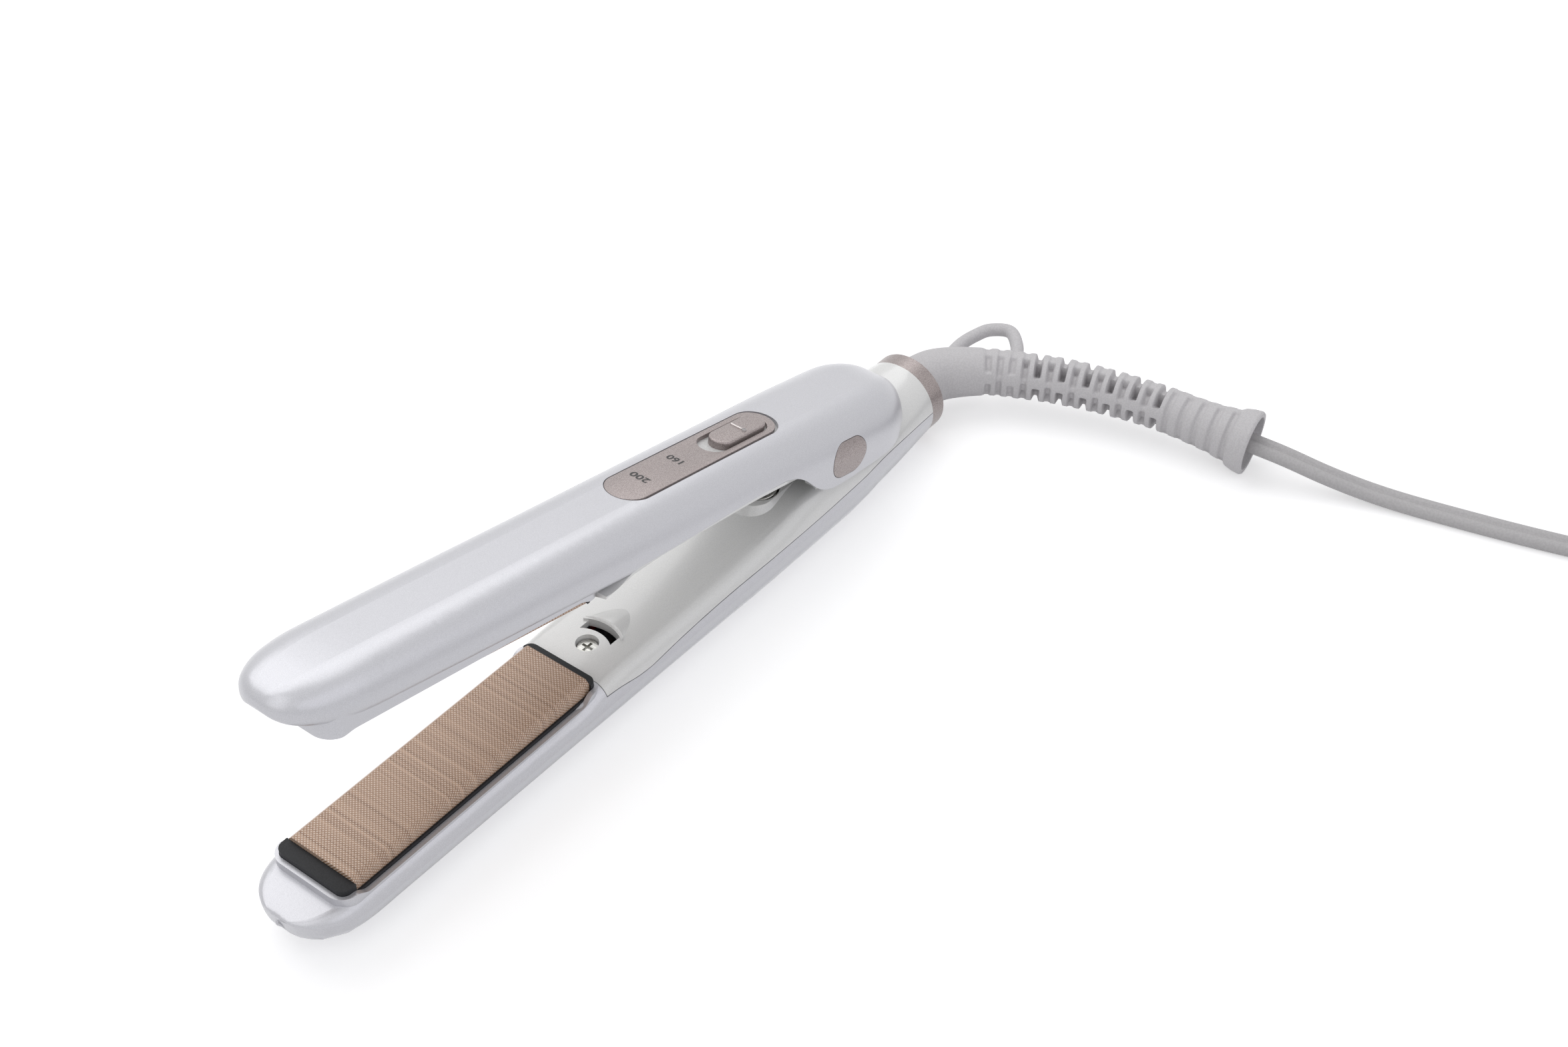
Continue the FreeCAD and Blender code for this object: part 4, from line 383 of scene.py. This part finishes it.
finishes = [
    (pearlPaint, ["lower_casing", "upper_casing"]),
    (glossPearl, ["lower_cover", "upper_cover"]),
    (lowerCoating, ["lower_plate"]),
    (upperCoating, ["upper_plate"]),
    (gasketRubber, ["lower_gasket", "upper_gasket"]),
    (heaterAlumina, ["lower_heater", "upper_heater"]),
    (rolledAluminium, ["lower_heater_clamp", "upper_heater_clamp"]),
    (carrierResin, ["lower_plate_carrier", "upper_plate_carrier"]),
    (redSilicone, ["lower_cushions", "upper_cushions"]),
    (zincSteel, ["lower_cover_screw", "upper_cover_screw", "opening_spring", "hinge_pin", "board_screws",
                 "swivel_stem"]),
    (leadSilicone, ["lower_leads", "upper_leads"]),
    (rosePaint, ["barrel_ring", "hinge_badges", "switch_plate", "switch_knob"]),
    (socketNylon, ["swivel_collar", "hinge_bushes"]),
    (drawnBrass, ["contact_fingers", "slip_rings", "plug_blades"]),
    (blackResin, ["temperature_sensor", "thermal_fuse", "slide_switch", "triac", "capacitor"]),
    (boardLacquer, ["circuit_board"]),
    (clearAcrylic, ["indicator_lamp", "knob_bead"]),
    (shutterAbs, ["switch_shutter"]),
    (elastomer, ["swivel_elbow", "ribbed_guard", "hanging_loop"]),
    (jacket, ["power_cord", "cord_coil", "cord_tail"]),
    (plugPvc, ["plug"]),
]


def paint(piece, material):
    piece.data.materials.clear()
    piece.data.materials.append(material)


for material, names in finishes:
    for name in names:
        paint(nodes[name], material)
print("painted nodes:", sum(len(names) for material, names in finishes), "of", len(nodes))


def placePiece(piece, body, material, replaced=()):
    paint(piece, material)
    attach(piece, body)
    if replaced:
        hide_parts(*replaced)


# Switch plate: a thin metal stadium with an eased edge, its slot open to the shutter

switchPlate = {"front": -6.2, "rear": 44.9, "half": 4.9, "side": 0.15, "top": 16.33, "thickness": 0.9, "edge": 0.14,
               "slotFront": 22.9, "slotRear": 42.9, "slotHalf": 3.5}


def makeSwitchPlate(d):
    high = platePlane + d["top"]
    low = high - d["thickness"]
    outer = roundedRise(d["front"], d["rear"], d["half"], low, high, d["edge"])
    inner = roundedRise(d["slotFront"], d["slotRear"], d["slotHalf"], low, high, -d["edge"])
    inner = [[(x, y, high - abs(z - high) if z > high else z) for x, y, z in ring] for ring in inner]
    outer, inner = [[[(x, y + d["side"], z) for x, y, z in ring] for ring in rings] for rings in (outer, inner)]
    return meshPiece("switchPlate", *skinRings(outer + inner[::-1], joined=True), turn=switchTurn)


placePiece(makeSwitchPlate(switchPlate), "upper_arm", rosePaint, ["switch_plate"])

# Switch knob: a stadium with a soft upper edge and a raised line across it

knob = {"front": 26.3, "rear": 42.3, "half": 2.85, "low": 15.35, "top": 17.23, "edge": 0.45,
        "lineX": 34.7, "lineStart": -1.0, "lineEnd": 2.1, "lineHalf": 0.22, "lineHeight": 0.3, "lineEdge": 0.12,
        "lineRoot": 0.1, "steps": 6}


def makeKnob(d):
    low, high = platePlane + d["low"], platePlane + d["top"]
    rings = roundedRise(d["front"], d["rear"], d["half"], low, high, d["edge"], d["steps"])
    return meshPiece("switchKnob", *skinRings(rings), turn=switchTurn)


def makeKnobLine(d):
    high = platePlane + d["top"]
    levels = ((high - d["lineRoot"], 0), (high + d["lineHeight"] * 0.6, 0), (high + d["lineHeight"], d["lineEdge"]))
    points, faces = skinRings([stadiumRing(d["lineStart"], d["lineEnd"], d["lineHalf"], height, inset, d["steps"])
                               for height, inset in levels])
    return meshPiece("knobLine", [(d["lineX"] - y, x, z) for x, y, z in points], faces, turn=switchTurn)


placePiece(makeKnob(knob), "switch", rosePaint, ["switch_knob"])
placePiece(makeKnobLine(knob), "switch", wornLine)

# Dial numbers, read from the cord end

numbers = {"160": {"along": 14.75, "side": 1.05, "span": 3.8}, "200": {"along": 3.5, "side": 1.05, "span": 4.66}}
numberStyle = {"tall": 2.0, "thickness": 0.015, "wide": 1.05, "bold": 0.032}


def makeNumber(text, spot, d):
    curve = bpy.data.curves.new("number" + text, "FONT")
    curve.body = text
    curve.space_character = d["wide"]
    curve.offset = d["bold"]
    label = bpy.data.objects.new("number" + text, curve)
    mesh = bpy.data.meshes.new_from_object(label)
    bpy.data.objects.remove(label)
    low, high = [Vector([pick(vertex.co[axis] for vertex in mesh.vertices) for axis in range(3)])
                 for pick in (min, max)]
    fit = Matrix.Diagonal((spot["span"] / (high.x - low.x), d["tall"] / (high.y - low.y), 1, 1))
    centre = Vector((spot["along"], spot["side"], platePlane + switchPlate["top"] + d["thickness"]))
    place = (Matrix.Translation(centre) @ Matrix.Rotation(math.radians(90), 4, "Z") @ fit
             @ Matrix.Translation(-(low + high) / 2))
    mesh.transform(Matrix.Scale(mm, 4) @ switchTurn @ place)
    piece = bpy.data.objects.new("number" + text, mesh)
    bpy.context.scene.collection.objects.link(piece)
    placePiece(piece, "upper_arm", printInk)


for text, spot in numbers.items():
    makeNumber(text, spot, numberStyle)
print("switch made")

# Lower cover: a hood behind the guide slot, smooth on top, with a raised rim along the slot coloured near white as a
# painted highlight

hood = {
    "centre": -16.0, "slotEdge": 9.62, "rimTop": 10.3,    # the slot's centre, and the rim's inner and outer radius
    "half": 5.2, "rear": 1.2, "surface": 14.6, "rise": 1.05,
    "sink": 1.7,            # how far the hood's edges run on below the cover's surface
    "rearCurve": 1.7, "archCurve": 2.6, "overlap": 0.12, "columns": 32, "rows": 18,
    "rimRise": 1.0, "rimRoot": 1.0, "rimWall": 0.25, "rimSlope": 0.35, "rimLip": 0.42, "rimInset": 0.1,
    "rimSteps": 16,
}


def hoodFront(side, radius, d):
    return d["centre"] + math.sqrt(radius * radius - side * side)


def makeHood(d):
    columns, rows = d["columns"], d["rows"]
    points = []
    for row in range(-1, rows + 1):
        along = max(row, 0) / rows
        for column in range(columns + 1):
            share = 2 * column / columns - 1
            side = d["half"] * share
            front = hoodFront(side, d["rimTop"] - d["overlap"], d)
            rear = d["rear"] - (d["rear"] - front) * abs(share) ** d["rearCurve"]
            rise = d["rise"] * max(1 - abs(share) ** d["archCurve"], 0.0) * (1 - blendStep(0, 1, along))
            low = row < 0 or row == rows or column in (0, columns)
            height = d["surface"] + (-d["sink"] if low else rise - d["overlap"] * along)
            points.append((front + (rear - front) * along, side, height))
    wide = columns + 1
    faces = [(row * wide + column, row * wide + column + 1, (row + 1) * wide + column + 1, (row + 1) * wide + column)
             for row in range(rows + 1) for column in range(columns)]
    return meshPiece("guideHood", points, faces, sharp=60)


def makeRim(d):
    # Band along the slot's rear edge, lower at its two ends
    rings = []
    root = d["surface"] - d["rimRoot"]
    for step in range(2 * d["rimSteps"] + 1):
        share = step / d["rimSteps"] - 1
        side = (d["half"] - d["rimInset"]) * share
        top = d["surface"] + d["rimRise"] * (1 - 0.5 * abs(share) ** 4)
        corners = ((d["slotEdge"], root), (d["slotEdge"], d["surface"] + d["rimWall"]),
                   (d["slotEdge"] + d["overlap"], top - d["rimSlope"]), (d["slotEdge"] + d["rimLip"], top),
                   (d["rimTop"], top), (d["rimTop"], root))
        rings.append([(hoodFront(side, radius, d), side, height) for radius, height in corners])
    return meshPiece("slotRim", *skinRings(rings), sharp=50)


placePiece(makeHood(hood), "lower_arm", glossPearl)
placePiece(makeRim(hood), "lower_arm", rimHighlightAbs)
print("guide hood made")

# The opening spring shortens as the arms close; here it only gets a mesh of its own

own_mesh(nodes["opening_spring"])

# Cord end: elbow and guard are one moulding, with the hanging loop on it

elbowRoute = [(102.0, 0.0, 9.85), (105.7, 0.0, 9.85), (110.2, -1.3, 9.85), (114.7, -4.9, 9.8), (119.5, -10.9, 9.8)]
guardRoute = [(119.5, -10.9, 9.8), (123.0, -17.3, 9.7), (127.4, -26.5, 9.5), (131.1, -37.5, 9.2),
              (133.6, -49.5, 9.1), (135.0, -61.5, 8.7), (136.8, -72.7, 7.85)]
loopRoute = [(117.4, 0.2, 9.8), (124.0, 0.8, 9.8), (129.4, 0.0, 9.8), (133.3, -1.6, 9.8),
             (135.6, -5.7, 9.8), (132.3, -9.9, 9.8), (127.5, -13.1, 9.8)]

guard = {
    "elbowSkin": [(0, 6.55), (8, 6.35), (22, 5.6)],   # outer radius along the elbow
    "skin": [(0, 5.6), (20, 5.6), (36, 5.4), (49, 5.45), (55, 5.8), (59.8, 6.5), (60.8, 7.1), (62.6, 7.6),
             (64.4, 7.8), (64.85, 7.55)],             # outer radius along the guard
    "firstGap": -0.7, "pitch": 3.03, "flareGap": 15, "flarePitch": 3.68, "gaps": 20,
    "gapHalf": 0.66, "ease": 0.4,
    "window": 4.5,          # depth of the dark windows, in every second gap
    "floor": 1.5, "floorDip": 0.7, "dip": (36, 56),   # depth of the slots between them, more at their ends
    "shallow": 1.0, "lastShallow": 3,                 # depth of the first gaps
    "flareDepth": 0.75, "flareWebHalf": 12,           # the grooves of the flare
    "web": 20, "webHalf": 17, "crossHalf": 28,        # in degrees round the guard
    "oddWebHalf": 9, "oddWebDepth": 0.4, "evenCrossDepth": 1.4, "oddCrossDepth": 0.3,
    "webEase": 4,
    "elbowEnd": 1.2,        # where the elbow's skin gives way to the guard's, before the first gap
    "bore": 3.0, "bell": 5.2, "mouth": 6.5, "bellDepth": 6.0, "bellStep": 1.0,
    "rings": 640, "sides": 120,
}


def gapCentre(gap, d):
    spread = max(gap - d["flareGap"], 0)
    return d["firstGap"] + d["pitch"] * (gap - spread) + d["flarePitch"] * spread


def gapDepth(gap, degrees, d):
    # Depth of a gap round the guard: webs on two crossed axes, with slots or windows between them
    ease = d["webEase"]
    fromWeb = abs((degrees - d["web"] + 90) % 180 - 90)
    fromCross = 90 - fromWeb
    if gap >= d["flareGap"]:
        return d["flareDepth"] * blendStep(d["flareWebHalf"] - ease, d["flareWebHalf"] + ease, fromCross)
    crossShare = blendStep(d["crossHalf"] - ease, d["crossHalf"] + ease, fromCross)
    middle = gap > d["lastShallow"]
    if gap % 2:
        floor = d["floor"] + d["floorDip"] * blendStep(*d["dip"], fromWeb) if gap > 1 else d["shallow"]
        web = d["oddWebDepth"] if middle else 0.5 * floor
        inSlot = web + (floor - web) * blendStep(d["oddWebHalf"] - ease, d["oddWebHalf"] + ease, fromWeb)
        return d["oddCrossDepth"] + (inSlot - d["oddCrossDepth"]) * crossShare
    window = d["window"] if middle else d["shallow"]
    cross = d["evenCrossDepth"] if middle else d["oddCrossDepth"]
    webShare = blendStep(d["webHalf"] - ease, d["webHalf"] + ease, fromWeb)
    return (cross + (window - cross) * crossShare) * webShare


def guardRadius(distance, angle, d):
    skin = between(d["skin"], distance)
    gap = min(range(d["gaps"]), key=lambda index: abs(distance - gapCentre(index, d)))
    inside = d["gapHalf"] - abs(distance - gapCentre(gap, d))
    if inside < -d["ease"]:
        return skin
    return skin - gapDepth(gap, math.degrees(angle), d) * blendStep(-d["ease"], d["ease"], inside)


def makeGuard(d):
    bend = lineLength(smoothLine(elbowRoute))
    line = evenly(smoothLine(elbowRoute + guardRoute[1:]), d["rings"])
    total = line[-1][2]
    bellStart = total - d["bellDepth"]
    bell = [(bellStart, d["bore"]), (bellStart + d["bellStep"], d["bell"]), (total, d["mouth"])]

    def outside(distance, angle):
        if distance < bend + d["firstGap"] - d["elbowEnd"]:
            return between(d["elbowSkin"], distance)
        return guardRadius(distance - bend, angle, d)

    rings = ringsAlong(line, outside, d["sides"])
    inside = [stop for stop in line if stop[2] >= bellStart][::-1]
    rings += ringsAlong(inside, lambda distance, angle: between(bell, distance), d["sides"])
    return meshPiece("cordGuard", *skinRings(rings), sharp=60)


placePiece(makeGuard(guard), "cord_end", elastomer, ["swivel_elbow", "ribbed_guard"])


loop = {"radius": 1.6, "rings": 90, "sides": 28}


def makeLoop(d):
    rings = ringsAlong(evenly(smoothLine(loopRoute), d["rings"]), lambda distance, angle: d["radius"], d["sides"])
    return meshPiece("hangingLoop", *skinRings(rings), sharp=60)


placePiece(makeLoop(loop), "cord_end", elastomer, ["hanging_loop"])
print("cord guard made")

# Power cord: flat twin flex, drawn as one spline from the guard through the put-away coil to the plug

flex = {
    "width": 5.6, "thickness": 3.0, "length": 1533,
    "lift": 1.5,            # the flat flex lies lower than a round one
    "pointSize": 0.01,      # radius of the control points, small so that the bounds keep to the flex
    "coilRadius": 42.0, "coilStep": 6.8, "coilRise": 3.1, "coilTurns": 3.375, "perTurn": 16,
    "valley": 0.25, "valleyDepth": 0.55,              # half width, and how much thickness is left there
    "profileSteps": 40, "runSteps": 8, "plugHeight": 7.5,
}
cordRoute = [(136.09, -68.27, 8.22), (136.8, -72.7, 7.85), (138.1, -80.6, 7.2), (141.0, -91.0, 4.4),
             (145.1, -103.5, 1.9), (149.2, -119.0, 1.5), (153.8, -136.6, 1.5), (159.4, -154.4, 1.5),
             (166.6, -174.9, 1.5), (174.0, -196.0, 1.5)]
tailRoute = [(133.2, -254.8), (117.2, -254.8), (102.2, -249.3)]


def coilRoute(d):
    # In along the floor, up a layer in half a turn, and out again on top
    end, before = Vector(cordRoute[-1]), Vector(cordRoute[-2])
    way = (end - before).normalized()
    centre = end + Vector((way.y, -way.x, 0)) * d["coilRadius"]
    first = math.atan2(end.y - centre.y, end.x - centre.x)
    turns, step = d["coilTurns"], d["coilStep"]
    total = round((2 * turns + 0.5) * d["perTurn"])
    points = []
    for index in range(1, total + 1):
        turn = index / d["perTurn"]
        if turn <= turns:
            radius, rise = d["coilRadius"] - step * turn, 0.0
        elif turn <= turns + 0.5:
            radius, rise = d["coilRadius"] - step * turns, d["coilRise"] * blendStep(turns, turns + 0.5, turn)
        else:
            radius, rise = d["coilRadius"] - step * turns + step * (turn - turns - 0.5), d["coilRise"]
        angle = first - 2 * math.pi * turn
        points.append((centre.x + radius * math.cos(angle), centre.y + radius * math.sin(angle), d["lift"] + rise))
    return points


def makeFlex(d):
    coil = coilRoute(d)
    rise = (d["plugHeight"] - coil[-1][2]) / len(tailRoute)
    tail = [(x, y, coil[-1][2] + rise * (index + 1)) for index, (x, y) in enumerate(tailRoute)]
    curve = routeCurve("powerCord", cordRoute + coil + tail, d["runSteps"], d["pointSize"])
    profile = bpy.data.curves.new("flexProfile", "CURVE")
    profile.dimensions = "2D"
    outline = profile.splines.new("POLY")
    outline.points.add(d["profileSteps"] - 1)
    core = d["thickness"] / 2
    for index, point in enumerate(outline.points):
        # Two round cores side by side with a valley between them
        angle = 2 * math.pi * index / d["profileSteps"]
        across = math.cos(angle) * d["width"] / 2
        fromCore = (abs(across) - (d["width"] / 2 - core)) / core
        height = core * (math.sqrt(max(1 - fromCore ** 2, 0.0)) if abs(across) > d["valley"] else d["valleyDepth"])
        height = math.copysign(height, math.sin(angle))
        point.co = (across * mm / d["pointSize"], height * mm / d["pointSize"], 0, 1)
    outline.use_cyclic_u = True
    section = bpy.data.objects.new("flexProfile", profile)
    bpy.context.scene.collection.objects.link(section)
    section.hide_render = True
    curve.bevel_mode = "OBJECT"
    curve.bevel_object = section
    curve.twist_mode = "Z_UP"
    curve.use_fill_caps = True
    cord = bpy.data.objects.new("powerCord", curve)
    bpy.context.scene.collection.objects.link(cord)
    return cord, section


cord, section = makeFlex(flex)
placePiece(cord, "cord_end", jacket, ["power_cord", "cord_coil", "cord_tail"])
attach(section, "cord_end")
print("cord made")

# Stage: pale floor, soft light, and the camera where the photograph was taken

stage = {"floor": 6000, "floorColor": "#E6E6E7", "glow": 0.45, "world": 0.47}
lamps = {
    "keyLeft": {"place": (-420, -60, 420), "size": (350, 700), "watts": 0.5, "tint": "#FFFFFF"},
    "fillRight": {"place": (60, -520, 330), "size": (800, 400), "watts": 0.5, "tint": "#F6F6FF"},
    "topBack": {"place": (160, 260, 520), "size": (900, 500), "watts": 1.8, "tint": "#FFFFFF"},
}
lampTarget = (20, -10, 15)
camera = {"place": (-268.45, -251.3, 362.16), "right": (0.61573, -0.78795, 0.00073),
          "down": (-0.52122, -0.40799, -0.74958), "lens": 55.17, "sensor": 36.0}


def backgroundRay(tree):
    # 1 for rays that look at the background itself, straight or by way of metal or glass
    path = addNode(tree, "ShaderNodeLightPath")
    seen = path.outputs["Is Camera Ray"]
    for ray in ("Is Glossy Ray", "Is Transmission Ray"):
        seen = addNode(tree, "ShaderNodeMath", links={0: seen, 1: path.outputs[ray]},
                       operation="MAXIMUM").outputs["Value"]
    return seen


def makeStage(d):
    half = d["floor"] / 2 * mm
    mesh = bpy.data.meshes.new("floor")
    mesh.from_pydata([(-half, -half, 0), (half, -half, 0), (half, half, 0), (-half, half, 0)], [], [(0, 1, 2, 3)])
    floor = bpy.data.objects.new("floor", mesh)
    bpy.context.scene.collection.objects.link(floor)
    material = bpy.data.materials.new("paleFloor")
    material.use_nodes = True
    tree = material.node_tree
    shader = tree.nodes["Principled BSDF"]
    shader.inputs["Base Color"].default_value = linearColor(d["floorColor"])
    shader.inputs["Roughness"].default_value = 0.9
    shader.inputs["Specular IOR Level"].default_value = 0.1
    strength = addNode(tree, "ShaderNodeMath", {1: d["glow"]}, {0: backgroundRay(tree)}, operation="MULTIPLY")
    shader.inputs["Emission Color"].default_value = (1, 1, 1, 1)
    tree.links.new(strength.outputs["Value"], shader.inputs["Emission Strength"])
    mesh.materials.append(material)


def makeLamp(name, d):
    light = bpy.data.lights.new(name, "AREA")
    light.shape = "RECTANGLE"
    light.size, light.size_y = (side * mm for side in d["size"])
    light.energy = d["watts"]
    light.color = linearColor(d["tint"])[:3]
    lamp = bpy.data.objects.new(name, light)
    lamp.location = Vector(d["place"]) * mm
    lamp.rotation_mode = "QUATERNION"
    lamp.rotation_quaternion = (Vector(lampTarget) * mm - lamp.location).to_track_quat("-Z", "Y")
    bpy.context.scene.collection.objects.link(lamp)


def makeWorld(d):
    world = bpy.data.worlds.new("studio")
    world.use_nodes = True
    background = world.node_tree.nodes["Background"]
    background.inputs["Color"].default_value = (1, 1, 1, 1)
    reach = addNode(world.node_tree, "ShaderNodeMapRange", {"To Min": d["world"], "To Max": 1.0},
                    {"Value": backgroundRay(world.node_tree)})
    world.node_tree.links.new(reach.outputs["Result"], background.inputs["Strength"])
    bpy.context.scene.world = world


def makeCamera(d):
    view = bpy.data.cameras.new("camera")
    view.lens, view.sensor_width, view.sensor_fit = d["lens"], d["sensor"], "HORIZONTAL"
    view.clip_start, view.clip_end = 0.01, 20
    eye = bpy.data.objects.new("camera", view)
    right, down = Vector(d["right"]), Vector(d["down"])
    turn = Matrix((right, -down, right.cross(-down))).transposed().to_4x4()
    eye.matrix_world = Matrix.Translation(Vector(d["place"]) * mm) @ turn
    bpy.context.scene.collection.objects.link(eye)
    bpy.context.scene.camera = eye


makeStage(stage)
for name, lamp in lamps.items():
    makeLamp(name, lamp)
makeWorld(stage)
makeCamera(camera)
bpy.context.scene.view_settings.view_transform = "Standard"
print("stage made")
